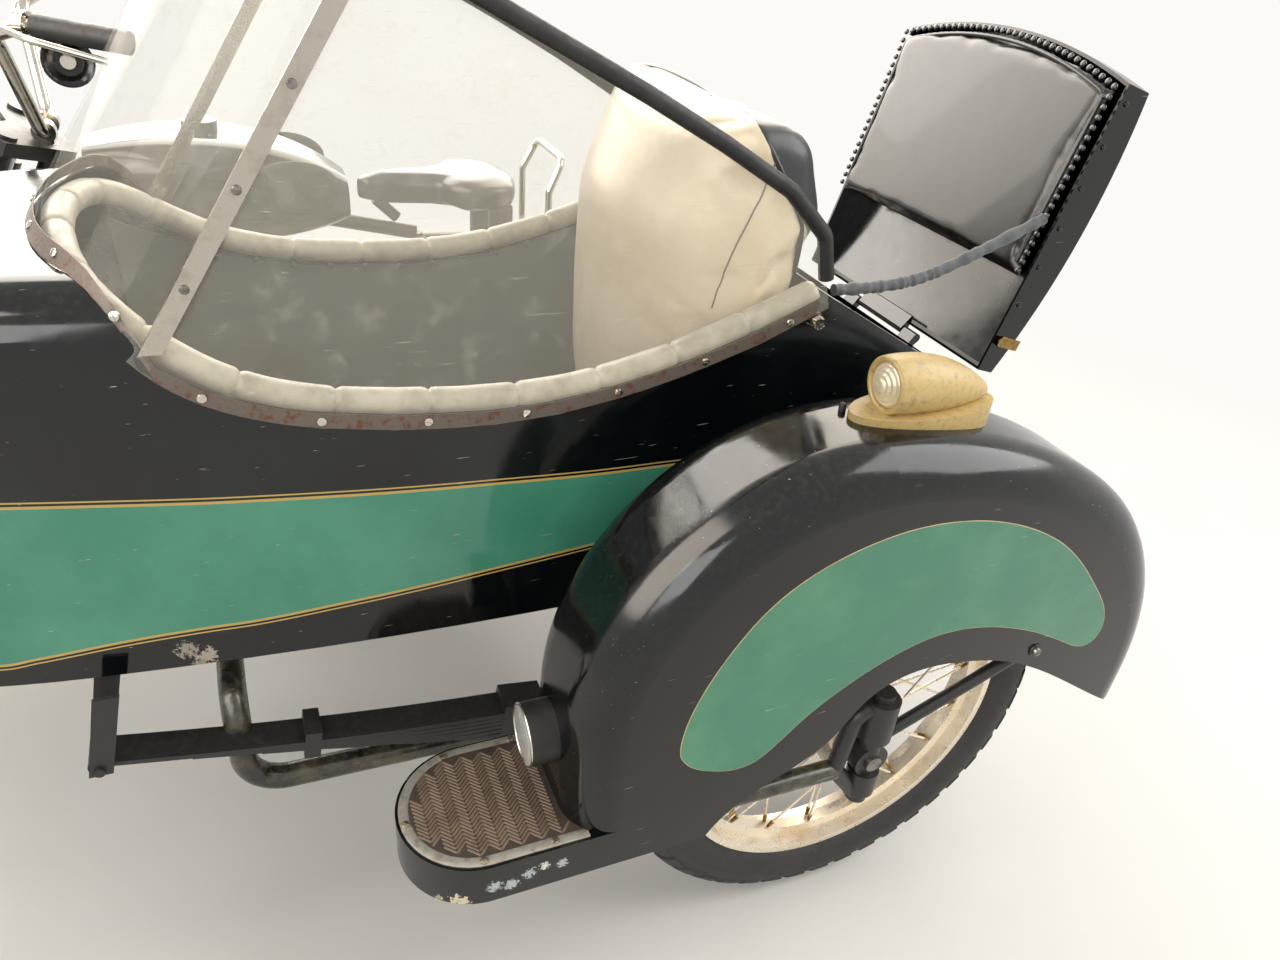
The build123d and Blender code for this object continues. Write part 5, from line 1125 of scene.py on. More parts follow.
@dataclass
class RoadWheels:
    """Tyres with their tread, and the spoke nipples in the rims."""

    tyre_radius: float = 0.330
    section: float = 0.0425
    width_factor: float = 1.055
    lug: float = 0.0025
    lug_edge: float = 0.0007
    turns: int = 132
    sides: int = 22
    # the tread's middle rib, lugs and shoulder lugs, in degrees round the section from its top
    bands: tuple[Pair, ...] = ((-1, 7), (10, 40), (42, 72))
    spokes: int = 36
    # the CAD's lacing: radius and side of a spoke's ends in millimetres, and their turns in degrees
    drum_hole: float = 87.0
    hub_hole: float = 50.0
    rim_hole: float = 228.0
    hub_side: float = 40.0
    rim_side: float = 4.0
    hub_lace: float = 38.0
    rim_lace: float = 10.0
    # a nipple's length, its two radii, and how far its middle lies inside the rim's hole, in metres
    nipple_length: float = 0.013
    nipple_radii: Pair = (0.0034, 0.0024)
    nipple_inset: float = 0.009
    # wheel name, X and Y of the axle's middle in millimetres, body, side of the drum
    wheels: tuple[tuple[str, Pair, Rides, int], ...] = (
        ("front", (727.5, BIKE_MIDDLE), Rides.FRONT, 1),
        ("rear", (-672.5, BIKE_MIDDLE), Rides.REAR, 1),
        ("sidecar", WHEEL_FOOT, Rides.CHAIR, -1),
    )

    def tyre(self) -> Object:
        """One tyre round the origin, its axle along Y, with raised tread blocks."""
        middle = self.tyre_radius - self.section - self.lug
        tyre = primitive(
            "torus", major_segments=self.turns, minor_segments=self.sides, major_radius=middle,
            minor_radius=self.section, rotation=(math.pi / 2, 0, 0),
        )
        tyre.scale = (1, 1, self.width_factor)
        apply_place(tyre)

        def block(place: Vector, normal: Vector, number: int) -> bool:
            """Whether a face is on the middle rib or a lug; both rows of lugs are cut every third step."""
            out = math.degrees(math.atan2(abs(place.y), math.hypot(place.x, place.z) - middle))
            step = int(math.floor(math.atan2(place.z, place.x) / (2 * math.pi) * self.turns)) % 3
            rib, lug, shoulder = (low < out < high for low, high in self.bands)
            return rib or (lug and step != 0) or (shoulder and step != (0 if place.y > 0 else 1))

        with editing(tyre):
            pick(tyre, block)
            bpy.ops.mesh.inset(thickness=self.lug_edge, depth=0.0)
            bpy.ops.transform.shrink_fatten(value=self.lug)
        return tyre

    def nipple_places(self, axle: Pair, drum_side: int) -> list[Matrix]:
        """Where the spokes meet one rim, by the CAD's lacing.

        Args:
            axle: X and Y of the wheel's middle in millimetres.
            drum_side: The side of the brake drum, 1 or -1.

        Returns:
            One placing a spoke.
        """

        def hole(edge: float, radius: float, turn: float) -> Vector:
            """A spoke's end, from its side of the wheel, its radius and its turn."""
            x, z = radius * math.cos(turn), radius * math.sin(turn)
            return metres(axle[0] + x, axle[1] + edge, AXLE_HEIGHT + z)

        places = []
        crosses = self.spokes // 4
        for i in range(crosses):
            for edge, lace in ((-1, -1), (-1, 1), (1, -1), (1, 1)):
                start = math.radians(360 / crosses * i + (0 if edge < 0 else 180 / crosses))
                foot = self.drum_hole if edge == drum_side else self.hub_hole
                low = hole(edge * self.hub_side, foot, start + lace * math.radians(self.hub_lace))
                high = hole(edge * self.rim_side, self.rim_hole, start + lace * math.radians(self.rim_lace))
                run = (high - low).normalized()
                places.append(aim(high - run * self.nipple_inset, run))
        return places

    def build(self) -> None:
        """Builds the tyres and the nipples of all three wheels."""
        pattern = self.tyre()
        for name, axle, rides, drum_side in self.wheels:
            tyre = bpy.data.objects.new("tyre", pattern.data.copy())
            bpy.context.collection.objects.link(tyre)
            place = Matrix.Translation(metres(*axle, AXLE_HEIGHT))
            settle(tyre, f"{name}_tyre_tread", Stock.TYRE, 35, place, rides)
            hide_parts(f"{name}_tyre")
            wide, slim = self.nipple_radii
            nipple = primitive("cone", vertices=8, radius1=wide, radius2=slim, depth=self.nipple_length)
            nipples = set_copies(nipple, self.nipple_places(axle, drum_side))
            settle(nipples, f"{name}_spoke_nipples", Stock.BRASS, rides=rides)
        bpy.data.objects.remove(pattern)


@dataclass
class ScreenFittings:
    """The rusted strip and screws at the screen's foot, the ribs' screws and the thumb nuts."""

    # the strip's height in millimetres, its distance from the sheet and its thickness in metres
    strip_height: float = 17.0
    lift: float = 0.0009
    strip_thickness: float = 0.0014
    screw_pitch: float = 0.098
    # the search for the screen's foot, in millimetres: X of its straight sides, the step there, and heights
    side_ends: tuple[int, int] = (60, 800)
    side_step: int = 37
    heights: range = range(770, 1010, 2)
    far_off: float = 900.0
    foot_screw: Head = Head(0.0052, 0.0026, slotted=True)
    rib_screw: Head = Head(0.0048, 0.0024, slotted=True)
    nut_at: Point = (52.0, 258.0, 882.0)
    # the ribs' line passes this X and Z, in millimetres, and leans back by an angle in degrees
    rib_foot: Pair = (870.0, 792.0)
    rib_lean: float = 32.0
    rib_heights: range = range(965, 1250, 92)
    low: list[Vector] = field(default_factory=list)
    high: list[Vector] = field(default_factory=list)
    out: list[Vector] = field(default_factory=list)

    def stations(self) -> list[tuple[Vector, Vector]]:
        """Places outside the screen and directions towards it, from one rear end round the front."""
        rear, front = self.side_ends
        found = [(body(x, self.far_off, 0), across(-1)) for x in range(rear, front, self.side_step)]
        for turn in range(90, -91, -6):
            way = Vector((math.cos(math.radians(turn)), math.sin(math.radians(turn)), 0))
            found.append((body(front, 0, 0) + way * (self.far_off / 1000), -way))
        back = range(front - self.side_step + 3, rear - 1, -self.side_step)
        return found + [(body(x, -self.far_off, 0), across(1)) for x in back]

    def trace(self) -> None:
        """Finds the screen's foot all the way round, where the sheet meets the body's skin."""
        sheet, skin = surface_of("windscreen"), surface_of("sidecar_body")
        for origin, way in self.stations():
            for z in self.heights:
                start = Vector((origin.x, origin.y, z / 1000))
                pane, normal, _, reach = sheet.ray_cast(start, way)
                hull = skin.ray_cast(start, way)
                if pane is None or (hull[0] is not None and hull[3] < reach):
                    continue
                start.z += self.strip_height / 1000
                top = sheet.ray_cast(start, way)[0]
                if top is None:
                    continue
                if normal.dot(way) > 0:
                    normal = -normal
                self.low.append(pane + normal * self.lift)
                self.high.append(top + normal * self.lift)
                self.out.append(normal.copy())
                break

    def strip(self) -> None:
        """The strip at the screen's foot, with a screw at each pitch."""
        strip = ribbon(self.low, self.high, self.strip_thickness)
        settle(strip, "screen_foot_strip", Stock.RUST)
        places, since = [], self.screw_pitch * 0.85
        for i in range(1, len(self.low)):
            since += (self.low[i] - self.low[i - 1]).length
            if since >= self.screw_pitch:
                since = 0.0
                middle = (self.low[i] + self.high[i]) / 2
                places.append(aim(middle + self.out[i] * 0.0004, self.out[i], i * 0.7))
        fasten("screen_foot_screws", self.foot_screw, places, Stock.CHROME)

    def rib_screws(self) -> None:
        """The screws down each rib, on its outer face."""
        ribs, places = surface_of("screen_ribs"), []
        for side, _ in SIDES:
            for z in self.rib_heights:
                x = self.rib_foot[0] - (z - self.rib_foot[1]) * math.tan(math.radians(self.rib_lean))
                hit = ribs.ray_cast(body(x, side * 600, z), across(-side))[0]
                if hit is not None:
                    places.append(aim(hit, across(side), z * 0.3))
        fasten("screen_rib_screws", self.rib_screw, places, Stock.STEEL)

    def thumb_nuts(self) -> None:
        """A ribbed thumb nut on each rear end of the screen's foot."""
        nut = primitive("cylinder", vertices=20, radius=0.009, depth=0.014, location=(0, 0, 0.010))
        with editing(nut):
            pick_grips(nut)
            bpy.ops.mesh.inset(thickness=0.0004)
            bpy.ops.transform.shrink_fatten(value=0.0012)
            pick_ends(nut, 1)
            bpy.ops.mesh.inset(thickness=0.003)
            bpy.ops.mesh.extrude_region_move(TRANSFORM_OT_translate={"value": (0, 0, 0.006)})
        x, y, z = self.nut_at
        places = [aim(body(x, side * y, z), Vector((0.1, side, -0.1)).normalized()) for side, _ in SIDES]
        settle(set_copies(nut, places), "screen_thumb_nuts", Stock.CHROME)

    def build(self) -> None:
        """Builds the strip, its screws and the small fittings."""
        self.trace()
        self.strip()
        self.rib_screws()
        self.thumb_nuts()


@dataclass
class Cockpit(Upholstery):
    """The padded roll round the cockpit, the deep seat back and the cushion."""

    # the roll's radius, its line's step, its seams' pitch and width in metres, and the share drawn in there
    roll_radius: float = 0.0165
    roll_step: float = 0.004
    seam_pitch: float = 0.1
    seam_width: float = 0.0034
    seam_dip: float = 0.2
    # how far the roll, the lining and the studs lie inside the body's side, and how far below the roll's line
    # the studs lie, in millimetres
    roll_inset: float = 18.5
    lining_inset: float = 9.5
    stud_inset: float = 11.0
    stud_drop: float = 27.0
    # the lining's thickness in metres
    lining_thickness: float = 0.003
    stud_places: range = range(110, 760, 52)
    stud: Head = Head(0.005, 0.0022)
    # the squab's dome: where it begins, its depth, how far its middle is set back, and its fall over distance
    dome_start: float = 105.0
    dome_depth: float = 165.0
    dome_set: float = 20.0
    dome_fall: float = 0.0017
    # X and Z of the roll's left side, then X, Y and Z round its left front, in the body's millimetres
    ridge: tuple[Pair, ...] = ((50, 910), (198, 856), (330, 821), (450, 810), (620, 821), (720, 844))
    nose: tuple[Point, ...] = ((800, 225, 892), (848, 190, 932), (876, 118, 952), (889, 0, 962))
    # X and Z of the side lining's top, and its bottom
    panel: tuple[Pair, ...] = (
        (84, 878), (198, 832), (330, 797), (450, 786), (620, 796), (720, 818), (790, 850), (860, 880),
    )
    panel_foot: float = 560.0
    # the squab's welt up to its middle, and X and Z of the seam down each side
    seam: tuple[Point, ...] = (
        (27, 228, 915), (52, 228, 969), (75, 228, 1002), (96, 228, 1032), (118, 222, 1066), (131, 200, 1094),
        (118, 140, 1105), (94, 58, 1108), (75, 0, 1108),
    )
    back_half: float = 228.0
    # radius of the welt and of the side seams' thread, and how far each lies off the leather, in metres
    welt_radius: float = 0.0036
    welt_lift: float = 0.0012
    thread_radius: float = 0.0011
    thread_lift: float = 0.0003
    side_seam: tuple[Pair, ...] = (
        (184, 880), (180, 902), (171, 927), (159, 962), (146, 992), (135, 1021), (124, 1050), (114, 1072),
    )
    # half the body's width at the tail, middle and scuttle, as X and Y
    widths: tuple[Pair, Pair, Pair] = ((-257.0, 240.0), (330.0, 276.0), (900.0, 243.0))

    def half_width(self, x: float) -> float:
        """Half the body's width at x in millimetres: one arc through the tail, middle and scuttle."""
        (x1, y1), (x2, y2), (x3, y3) = self.widths
        d = 2 * (x1 * (y2 - y3) + x2 * (y3 - y1) + x3 * (y1 - y2))
        s1, s2, s3 = x1 * x1 + y1 * y1, x2 * x2 + y2 * y2, x3 * x3 + y3 * y3
        cx = (s1 * (y2 - y3) + s2 * (y3 - y1) + s3 * (y1 - y2)) / d
        cy = (s1 * (x3 - x2) + s2 * (x1 - x3) + s3 * (x2 - x1)) / d
        return cy + math.sqrt((x1 - cx) ** 2 + (y1 - cy) ** 2 - (x - cx) ** 2)

    def roll(self) -> None:
        """The leather roll, drawn in at a sewn seam about every 100 mm."""
        line = [body(x, self.half_width(x) - self.roll_inset, z) for x, z in self.ridge]
        line += [body(*point) for point in self.nose]
        middle = BODY_MIDDLE / 1000
        line += [Vector((point.x, 2 * middle - point.y, point.z)) for point in reversed(line[:-1])]
        points = walk(line, self.roll_step)
        swell = []
        for i in range(len(points)):
            along = i * self.roll_step
            off = min(along % self.seam_pitch, self.seam_pitch - along % self.seam_pitch)
            dip = self.seam_dip * math.exp(-((off / self.seam_width) ** 2))
            swell.append(1.0 - dip + 0.02 * math.sin(along * 71.0) * math.sin(along * 23.0))
        roll = bent_tube(points, self.roll_radius, swell, kind="POLY", sides=5)
        settle(roll, "coaming_roll", Stock.ROLL, 60)
        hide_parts("cockpit_coaming")

    def dome(self, point: Vector) -> Vector:
        """Draws the squab's front back from its middle towards both sides, so that it bulges in plan."""
        along = point.x * 1000 - WHEEL_FOOT[0]
        off = point.y * 1000 - BODY_MIDDLE
        front = min(1.0, max(0.0, (along - self.dome_start) / self.dome_depth))
        back = front * (self.dome_set + self.dome_fall * off * off) / 1000
        return Vector((point.x - back, point.y, point.z))

    def seat(self) -> None:
        """The domed seat back with its welt, and the cushion."""
        stuffing = Stuffing(shrink=0.006, cap=0.016, pressure=3.0, fill=0.8)
        back = self.stuff("seat_squab", "seat_back", Stock.SQUAB, stuffing, mould=self.dome)
        stuffing = Stuffing(shrink=0.008, cap=0.018, pressure=3.0, fill=0.7)
        self.stuff("seat_pad", "seat_cushion", Stock.SEAT, stuffing)
        skin = surface_of(back.data)

        def lay(points: list[Vector], lift: float) -> list[Vector]:
            """Moves points to the nearest place on the squab, and off it by a lift in metres."""
            found = [skin.find_nearest(point) for point in points]
            return [place + normal * lift for place, normal, _, _ in found]

        # the piping between the light front and dark rear leather, up both sides and over the top
        far = [(x, -y, z) for x, y, z in reversed(self.seam[:-1])]
        route = [body(*point) for point in (*self.seam, *far)]
        welt = bent_tube(lay(route, self.welt_lift), self.welt_radius)
        settle(welt, "seat_welt", Stock.BLACK_CLOTH, 60)
        for side, hand in SIDES:
            route = [body(x, side * self.back_half, z) for x, z in self.side_seam]
            line = lay(read_route(route, 8), self.thread_lift)
            seam = bent_tube(line, self.thread_radius, kind="POLY", sides=2)
            settle(seam, f"{hand}_side_seam", Stock.SEAT, 60)

    def lining(self) -> None:
        """The leathercloth that lines the cockpit's sides, from the seat to under the scuttle."""
        for side, hand in SIDES:
            tops = [body(x, side * (self.half_width(x) - self.lining_inset), z) for x, z in self.panel]
            feet = [Vector((top.x, top.y, self.panel_foot / 1000)) for top in tops]
            panel = ribbon(feet, tops, self.lining_thickness)
            apply_modifier(panel, "SUBSURF", subdivision_type="SIMPLE", levels=2, render_levels=2)
            settle(panel, f"{hand}_cockpit_lining", Stock.LINING, 50)

    def studs(self) -> None:
        """The flat studs that hold the roll's leather, on the inside of the cockpit's edge."""
        places = []
        for x in self.stud_places:
            for side, _ in SIDES:
                y, z = self.half_width(x) - self.stud_inset, self.ridge_height(x) - self.stud_drop
                places.append(aim(body(x, side * y, z), across(-side)))
        fasten("coaming_studs", self.stud, places, Stock.STEEL)

    def ridge_height(self, x: float) -> float:
        """The roll's height at x, in millimetres, by straight runs between its stations."""
        for (x1, z1), (x2, z2) in zip(self.ridge, self.ridge[1:]):
            if x <= x2:
                return z1 + (z2 - z1) * (x - x1) / (x2 - x1)
        return self.ridge[-1][1]

    def build(self) -> None:
        """Builds the cockpit's soft pieces."""
        self.roll()
        self.lining()
        self.studs()
        self.seat()


@dataclass
class LuggageLid(Upholstery):
    """The open lid's padded lining with its nailed border, the flange's rivets, the hasp and the strap."""

    hinge: Pair = (-266.0, 751.0)
    lean: float = math.radians(16.0)
    length: float = 423.0
    crown: float = 34.0
    half: float = 236.0
    # where the lining's border starts above the hinge, and inset, step and depth of its welt and its nails
    border_foot: float = 150.0
    welt_depth: float = 13.0
    nail_depth: float = 12.0
    welt_radius: float = 0.0032
    welt_run: Pair = (20.0, 18.0)
    nail_run: Pair = (9.5, 13.5)
    nail: Head = Head(0.0046, 0.0034)
    # first and last height above the hinge and step of the rivets
    rivet_run: Point = (60.0, 400.0, 56.0)
    rivet: Head = Head(0.0036, 0.0022)
    # how far the rivets lie out of the lid's back
    rivet_depth: float = 12.0
    # the hasp's size and bent lip in metres, and its place past the flange, up the lid and out of its back
    hasp_size: Point = (0.036, 0.016, 0.0024)
    hasp_lip: Point = (0.012, 0.0, 0.007)
    hasp_at: Point = (0.5, 60.0, 32.0)
    # the strap's distance from the middle plane, and X and Z of its route from the deck to the lid
    strap_y: float = 228.0
    strap_radius: float = 0.0085
    strap: tuple[Pair, ...] = ((6, 901), (-78, 898), (-170, 917), (-315, 982))

    def at(self, off: float, up: float, back: float) -> Vector:
        """A point on the lid: off its middle, up it from the hinge, and out of its back, in millimetres."""
        x = self.hinge[0] - up * math.sin(self.lean) - back * math.cos(self.lean)
        z = self.hinge[1] + up * math.cos(self.lean) - back * math.sin(self.lean)
        return body(x, off, z)

    def border(self, inset: float, step: float) -> list[Pair]:
        """Points round the lining's two sides and arched top.

        Args:
            inset: How far inside the lid's outline they run, in millimetres.
            step: Their spacing in millimetres.

        Returns:
            How far off the middle and how far up each is, in millimetres.
        """
        half, top = self.half - inset, self.length - inset
        side = [(half, up) for up in self.spread(self.border_foot + inset, top, step)]
        arch = [(off, top + self.crown * (1 - (off / half) ** 2)) for off in self.spread(half, -half, step)]
        return [*side, *arch[1:-1], *[(-off, up) for off, up in reversed(side)]]

    @staticmethod
    def spread(start: float, end: float, step: float) -> list[float]:
        """Even values from start to end, about a step apart."""
        count = max(1, round(abs(end - start) / step))
        return [start + (end - start) * i / count for i in range(count + 1)]

    def lining(self) -> None:
        """The stuffed black lining, its welt and its row of nails."""
        stuffing = Stuffing(shrink=0.003, cap=0.010, pressure=2.5, fill=0.6)
        self.stuff("lid_lining", "lid_pad", Stock.BLACK_CLOTH, stuffing, Rides.LID, fine=False)
        line = [self.at(off, up, -self.welt_depth) for off, up in self.border(*self.welt_run)]
        welt = bent_tube(line, self.welt_radius)
        settle(welt, "lid_lining_welt", Stock.BLACK_CLOTH, 60, rides=Rides.LID)
        facing = Vector((math.cos(self.lean), 0, math.sin(self.lean)))
        nails = [aim(self.at(off, up, -self.nail_depth), facing) for off, up in self.border(*self.nail_run)]
        fasten("lid_lining_nails", self.nail, nails, Stock.BLACK_CLOTH, 50, Rides.LID)

    def metalwork(self) -> None:
        """Rivets down both flanges, and the hasp on the near edge."""
        rivets = []
        for side, _ in SIDES:
            for up in self.spread(*self.rivet_run):
                rivets.append(aim(self.at(side * self.half, up, self.rivet_depth), across(side)))
        fasten("lid_flange_rivets", self.rivet, rivets, Stock.ENAMEL, rides=Rides.LID)
        hasp = primitive("cube", size=1, location=(0, 0, self.hasp_size[2] / 2), scale=self.hasp_size)
        apply_place(hasp)
        with editing(hasp):
            pick(hasp, lambda middle, normal, number: normal.x > 0.9)
            bpy.ops.mesh.extrude_region_move(TRANSFORM_OT_translate={"value": self.hasp_lip})
            bpy.ops.transform.resize(value=(1, 0.6, 1))
        soften_edges(hasp, 0.0008)
        off, up, back = self.hasp_at
        place = aim(self.at(self.half + off, up, back), LEFT, math.pi - self.lean)
        settle(hasp, "lid_hasp", Stock.BRASS, 40, place, Rides.LID)

    def stay_strap(self) -> None:
        """The cloth-covered strap from the deck's corner to the lid's near edge, gathered all along."""
        points = read_route([body(x, self.strap_y, z) for x, z in self.strap], 34)
        swell = [
            1.0 - 0.16 * (0.5 + 0.5 * math.sin(i * 1.15 + 1.7 * math.sin(i * 0.31)))
            - 0.05 * math.sin(i * 0.47)
            for i in range(len(points))
        ]
        strap = bent_tube(points, self.strap_radius, swell, kind="POLY", sides=4)
        settle(strap, "lid_stay_strap", Stock.STRAP, 60, rides=None)
        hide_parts("lid_strap")
        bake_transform(strap)

    def build(self) -> None:
        """Builds the lid's pieces."""
        self.stay_strap()
        self.lining()
        self.metalwork()


@dataclass
class Mudguard:
    """The sidecar mudguard's green panel with its gold edge, and its small fittings."""

    face_y: float = 100.0
    # the green panel's thickness and its gold line's radius in metres, and how flat the line is
    panel_thickness: float = 0.0005
    panel_lift: float = 0.0002
    line_radius: float = 0.0010
    line_flatness: float = 0.45
    bolt_at: Pair = (-227.0, 479.0)
    washer: Head = Head(0.0105, 0.0024)
    bolt: Head = Head(0.0068, 0.005, slotted=True)
    # how far the bolt stands off the skirt on its washer, and how its slot is turned
    bolt_lift: float = 2.2
    bolt_turn: float = 0.5
    stud: Head = Head(0.0045, 0.010)
    # places above the stud and behind the tail's button, from which their seats on the skin are sought
    above_stud: Point = (88.0, -22.0, 1200.0)
    behind_button: Point = (-900.0, 20.0, 545.0)
    lamp_at: Point = (49.0, 0.0, 866.0)
    reflector_at: Point = (470.2, 4.0, 446.0)
    # how far the bezel and the band stand ahead of their glasses, in metres
    bezel_lead: float = 0.0025
    band_lead: float = 0.001
    # X and Z of the green panel's outline, from the wheel's foot
    panel: tuple[Pair, ...] = (
        (309, 462), (304, 506), (289, 551), (262, 604), (222, 660), (170, 698), (109, 722), (38, 735),
        (-42, 730), (-118, 709), (-190, 673), (-242, 632), (-292, 579), (-333, 530), (-347, 492),
        (-340, 466), (-314, 460), (-265, 489), (-200, 523), (-117, 551), (-40, 557), (28, 536), (88, 503),
        (134, 469), (172, 428), (200, 404), (234, 402), (280, 420), (301, 441),
    )

    def green_panel(self) -> None:
        """The green panel as a skin of paint on the skirt, and its gold line."""
        outline = [chair(x, self.face_y, z) for x, z in self.panel]
        panel = curve_line(outline, closed=True)
        take(panel)
        bpy.ops.object.convert(target="MESH")
        with editing(panel, "EDGE", whole=True):
            bpy.ops.mesh.edge_face_add()
            bpy.ops.mesh.normals_make_consistent(inside=False)
        apply_modifier(panel, "SOLIDIFY", thickness=self.panel_thickness, offset=0.0)
        panel.location.y += self.panel_lift
        settle(panel, "mudguard_green_panel", Stock.GREEN, 30)
        line = bent_tube(outline, self.line_radius, closed=True, sides=2)
        face = Matrix.Translation((0, (WHEEL_FOOT[1] + self.face_y) / 1000, 0))
        flat = face @ Matrix.Diagonal((1, self.line_flatness, 1, 1)) @ face.inverted()
        settle(line, "mudguard_gold_line", Stock.GOLD, 60, flat)

    def fittings(self) -> None:
        """The skirt's bolt and washer, the small button on the tail, and the stud by the lamp."""
        x, z = self.bolt_at
        place = aim(chair(x, self.face_y, z), LEFT)
        fasten("skirt_washer", self.washer, [place], Stock.CHASSIS)
        place = aim(chair(x, self.face_y + self.bolt_lift, z), LEFT, self.bolt_turn)
        fasten("skirt_bolt", self.bolt, [place], Stock.STEEL)
        skin, studs = surface_of("sidecar_mudguard"), []
        sights = ((chair(*self.above_stud), Vector((0, 0, -1))), (chair(*self.behind_button), AHEAD))
        for start, way in sights:
            hit, normal, _, _ = skin.ray_cast(start, way)
            if hit is not None:
                studs.append(aim(hit, -way if normal.dot(way) > 0 else normal))
        fasten("mudguard_studs", self.stud, studs, Stock.RUBBER)

    def lamps(self) -> None:
        """The marker lamp's bull's-eye lens in its bezel, and the reflector's mesh glass in its band."""
        lamp, reflector = chair(*self.lamp_at), chair(*self.reflector_at)
        lens = ringed_disc(radius=0.0266, rings=4, step=0.0014, rise=0.010)
        settle(lens, "marker_bulls_eye", Stock.LENS, 25, aim(lamp, AHEAD))
        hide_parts("marker_lens")
        bezel = hoop(radius=0.0305, thickness=0.0035, segments=40, sides=10)
        place = aim(lamp + AHEAD * self.bezel_lead, AHEAD)
        settle(bezel, "marker_bezel", Stock.CREAM, 60, place)
        glass = ringed_disc(radius=0.0375, rings=1, step=0.0008, rise=0.002)
        place = aim(reflector, AHEAD)
        settle(glass, "reflector_glass", Stock.REFLECTOR, 40, place)
        band = hoop(radius=0.038, thickness=0.0016, segments=48, sides=8)
        place = aim(reflector + AHEAD * self.band_lead, AHEAD)
        settle(band, "reflector_band", Stock.CHROME, 60, place)

    def build(self) -> None:
        """Builds the mudguard's pieces."""
        self.green_panel()
        self.fittings()
        self.lamps()


@dataclass
class FootboardTrim:
    """The metal trim that holds the mat, its slotted screws, and the mat's herringbone ribs."""

    top: float = 347.0
    thickness: float = 2.4
    centre: Pair = (532.0, 5.0)
    radius: float = 85.0
    width: float = 13.0
    # X of the rear end of the trim's left and right run
    left_end: float = 412.0
    right_end: float = 446.0
    screw: Head = Head(0.0052, 0.0028, slotted=True)
    screws: tuple[Pair, ...] = ((462, -80), (552, -77), (617, 12), (541, 90), (455, 90))
    # the mat's rows and ribs
    row: float = 12.5
    rib_pitch: float = 6.0
    rib_width: float = 3.2
    rib_height: float = 0.9

    def mat_ribs(self) -> None:
        """The mat's ribs, in herringbone rows across the board, wherever a whole rib has mat under it."""
        mat = surface_of("footboard_mat")
        low, high = (corner * 1000 for corner in box_corners("footboard_mat"))
        half = self.row / 2
        places = []
        for column in range(int((high.x - low.x) / self.row) + 1):
            x = low.x + (column + 0.5) * self.row
            slope = 1 if column % 2 else -1
            for number in range(int((high.y - low.y) / self.rib_pitch) + 1):
                y = low.y + number * self.rib_pitch
                ends = [metres(x + way * half, y + way * slope * half, high.z + 10) for way in (1, -1)]
                hits = [mat.ray_cast(end, Vector((0, 0, -1)))[0] for end in ends]
                if all(hit is not None and hit.z * 1000 > high.z - 1 for hit in hits):
                    places.append(aim(metres(x, y, high.z), UP, slope * math.pi / 4))
        rib = primitive("cube", size=1, location=(0, 0, self.rib_height / 2000))
        rib.scale = metres(self.row * math.sqrt(2), self.rib_width, self.rib_height)
        apply_place(rib)
        with editing(rib):
            pick_ends(rib, 1)
            bpy.ops.transform.resize(value=(1, 0.55, 1))
        settle(set_copies(rib, places), "footboard_mat_ribs", Stock.MAT_RIB)

    def edge(self, offset: float) -> list[Vector]:
        """One edge of the trim in plan, moved out from its middle line."""
        reach, (x, y), z = self.radius + offset, self.centre, self.top + self.thickness / 2
        line = [chair(self.left_end, y + reach, z), chair((self.left_end + x) / 2, y + reach, z)]
        for turn in range(90, -91, -9):
            way = math.radians(turn)
            line.append(chair(x + reach * math.cos(way), y + reach * math.sin(way), z))
        return [*line, chair((self.right_end + x) / 2, y - reach, z), chair(self.right_end, y - reach, z)]

    def build(self) -> None:
        """Builds the trim, its screws and the mat's ribs."""
        trim = ribbon(self.edge(-self.width / 2), self.edge(self.width / 2), self.thickness / 1000)
        soften_edges(trim, 0.0008)
        settle(trim, "footboard_trim", Stock.TRIM)
        places = [aim(chair(x, y, self.top + self.thickness), UP, x * 0.9) for x, y in self.screws]
        fasten("footboard_screws", self.screw, places, Stock.DULL_STEEL)
        self.mat_ribs()


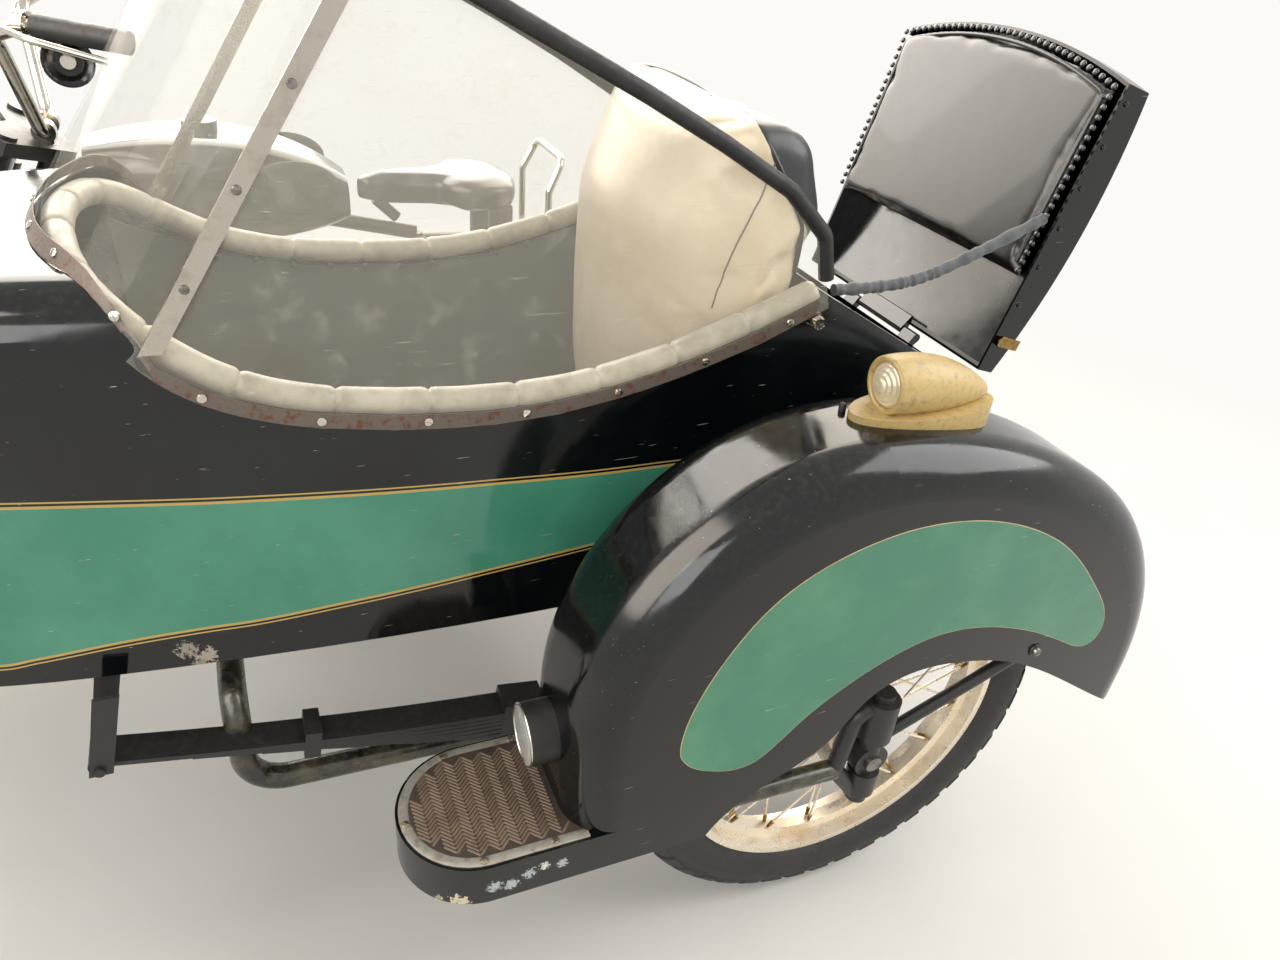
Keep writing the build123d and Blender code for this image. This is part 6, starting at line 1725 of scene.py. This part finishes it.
@dataclass
class Motorcycle(Upholstery):
    """The motorcycle's saddle, lamp glass, horn and knee pads."""

    horn_at: Point = (307.0, -170.0, 1044.0)
    horn_facing: Point = (-0.1, 0.98, 0.18)
    # a knee pad's half length, height and depth in metres, and its ribs' pitch in millimetres
    pad_size: Point = (0.078, 0.046, 0.011)
    pad_rib: int = 14
    # how far a pad's middle lies ahead of the tank's rear end and above the tank's middle, in metres
    pad_place: Pair = (0.10, 0.005)
    # how far behind the headlamp's front the glass and the rim lie, in metres
    glass_inset: float = 0.001
    rim_inset: float = 0.002
    # how far the horn's nut stands out, how far behind the dish's middle the stem starts, and its radius
    nut_lift: float = 0.008
    stem_start: float = 0.012
    stem_radius: float = 0.0045

    def headlamp_glass(self) -> None:
        """The headlamp's fluted glass and plated rim."""
        low, high = box_corners("headlamp")
        middle = Vector((high.x, (low.y + high.y) / 2, (low.z + high.z) / 2))
        glass = ringed_disc(radius=0.072, rings=6, step=0.0009, rise=0.009)
        place = aim(middle - AHEAD * self.glass_inset, AHEAD)
        settle(glass, "headlamp_glass", Stock.LENS, 25, place, Rides.STEERING)
        rim = hoop(radius=0.0775, thickness=0.006, segments=56, sides=12)
        place = aim(middle - AHEAD * self.rim_inset, AHEAD)
        settle(rim, "headlamp_rim", Stock.CHROME, 60, place, Rides.STEERING)

    def horn(self) -> None:
        """The small black horn dish on the left handlebar, with its stem and knurled plated nut."""
        middle, facing = metres(*self.horn_at), Vector(self.horn_facing).normalized()
        dish = primitive("cylinder", vertices=40, radius=0.034, depth=0.012)
        with editing(dish):
            pick_ends(dish, 1)
            bpy.ops.mesh.inset(thickness=0.003)
            bpy.ops.mesh.inset(thickness=0.012, depth=-0.007)
            pick_ends(dish, -1)
            bpy.ops.mesh.inset(thickness=0.020, depth=0.010)
        soften_edges(dish, 0.0012)
        settle(dish, "horn_dish", Stock.ENAMEL, 40, aim(middle, facing), Rides.STEERING)
        nut = primitive("cylinder", vertices=24, radius=0.009, depth=0.014)
        with editing(nut):
            pick_grips(nut)
            bpy.ops.transform.shrink_fatten(value=0.001)
        place = aim(middle + facing * self.nut_lift, facing)
        settle(nut, "horn_nut", Stock.CHROME, 40, place, Rides.STEERING)
        back = middle - facing * self.stem_start
        bar = surface_of("handlebar").find_nearest(back)[0]
        stem = bent_tube([back, (back + bar) / 2, bar], self.stem_radius)
        settle(stem, "horn_stem", Stock.CHROME, rides=Rides.STEERING)

    def in_rib(self, middle: Vector, normal: Vector, number: int) -> bool:
        """Whether a face is on a rib of a knee pad's outer side."""
        return middle.z > 0.004 and int(middle.x * 1000) % self.pad_rib < self.pad_rib // 2

    def knee_pads(self) -> None:
        """A ribbed rubber knee pad on each side of the tank's rear."""
        skin = surface_of("fuel_tank")
        low, high = box_corners("fuel_tank")
        lead, lift = self.pad_place
        for side, hand in SIDES:
            start = Vector((low.x + lead, BIKE_MIDDLE / 1000 + side * 0.5, (low.z + high.z) / 2 + lift))
            hit = skin.ray_cast(start, across(-side))[0]
            if hit is None:
                continue
            pad = primitive("uv_sphere", segments=32, ring_count=16, radius=1)
            pad.scale = self.pad_size
            apply_place(pad)
            with editing(pad):
                pick(pad, self.in_rib)
                bpy.ops.mesh.inset(thickness=0.0006)
                bpy.ops.transform.shrink_fatten(value=0.0014)
                bpy.ops.mesh.select_all(action="SELECT")
                bpy.ops.mesh.normals_make_consistent(inside=False)
            out = across(side)
            turn = Matrix((AHEAD, out.cross(AHEAD), out)).transposed().to_4x4()
            place = Matrix.Translation(hit) @ turn
            settle(pad, f"{hand}_knee_pad", Stock.RUBBER, 50, place)

    def build(self) -> None:
        """Builds the motorcycle's pieces, the saddle's thick black cover first."""
        stuffing = Stuffing(shrink=0.004, cap=0.010, pressure=2.0, fill=0.7)
        self.stuff("saddle_cover", "saddle", Stock.BLACK_CLOTH, stuffing)
        self.headlamp_glass()
        self.horn()
        self.knee_pads()


def main() -> None:
    """Builds the looks in order."""
    logging.basicConfig(level=logging.INFO, format="%(message)s")
    Studio().build()
    dress_frame()
    for group in (LuggageLid, Cockpit, ScreenFittings, Mudguard, FootboardTrim, RoadWheels, Motorcycle):
        group().build()


if __name__ == "__main__":
    main()
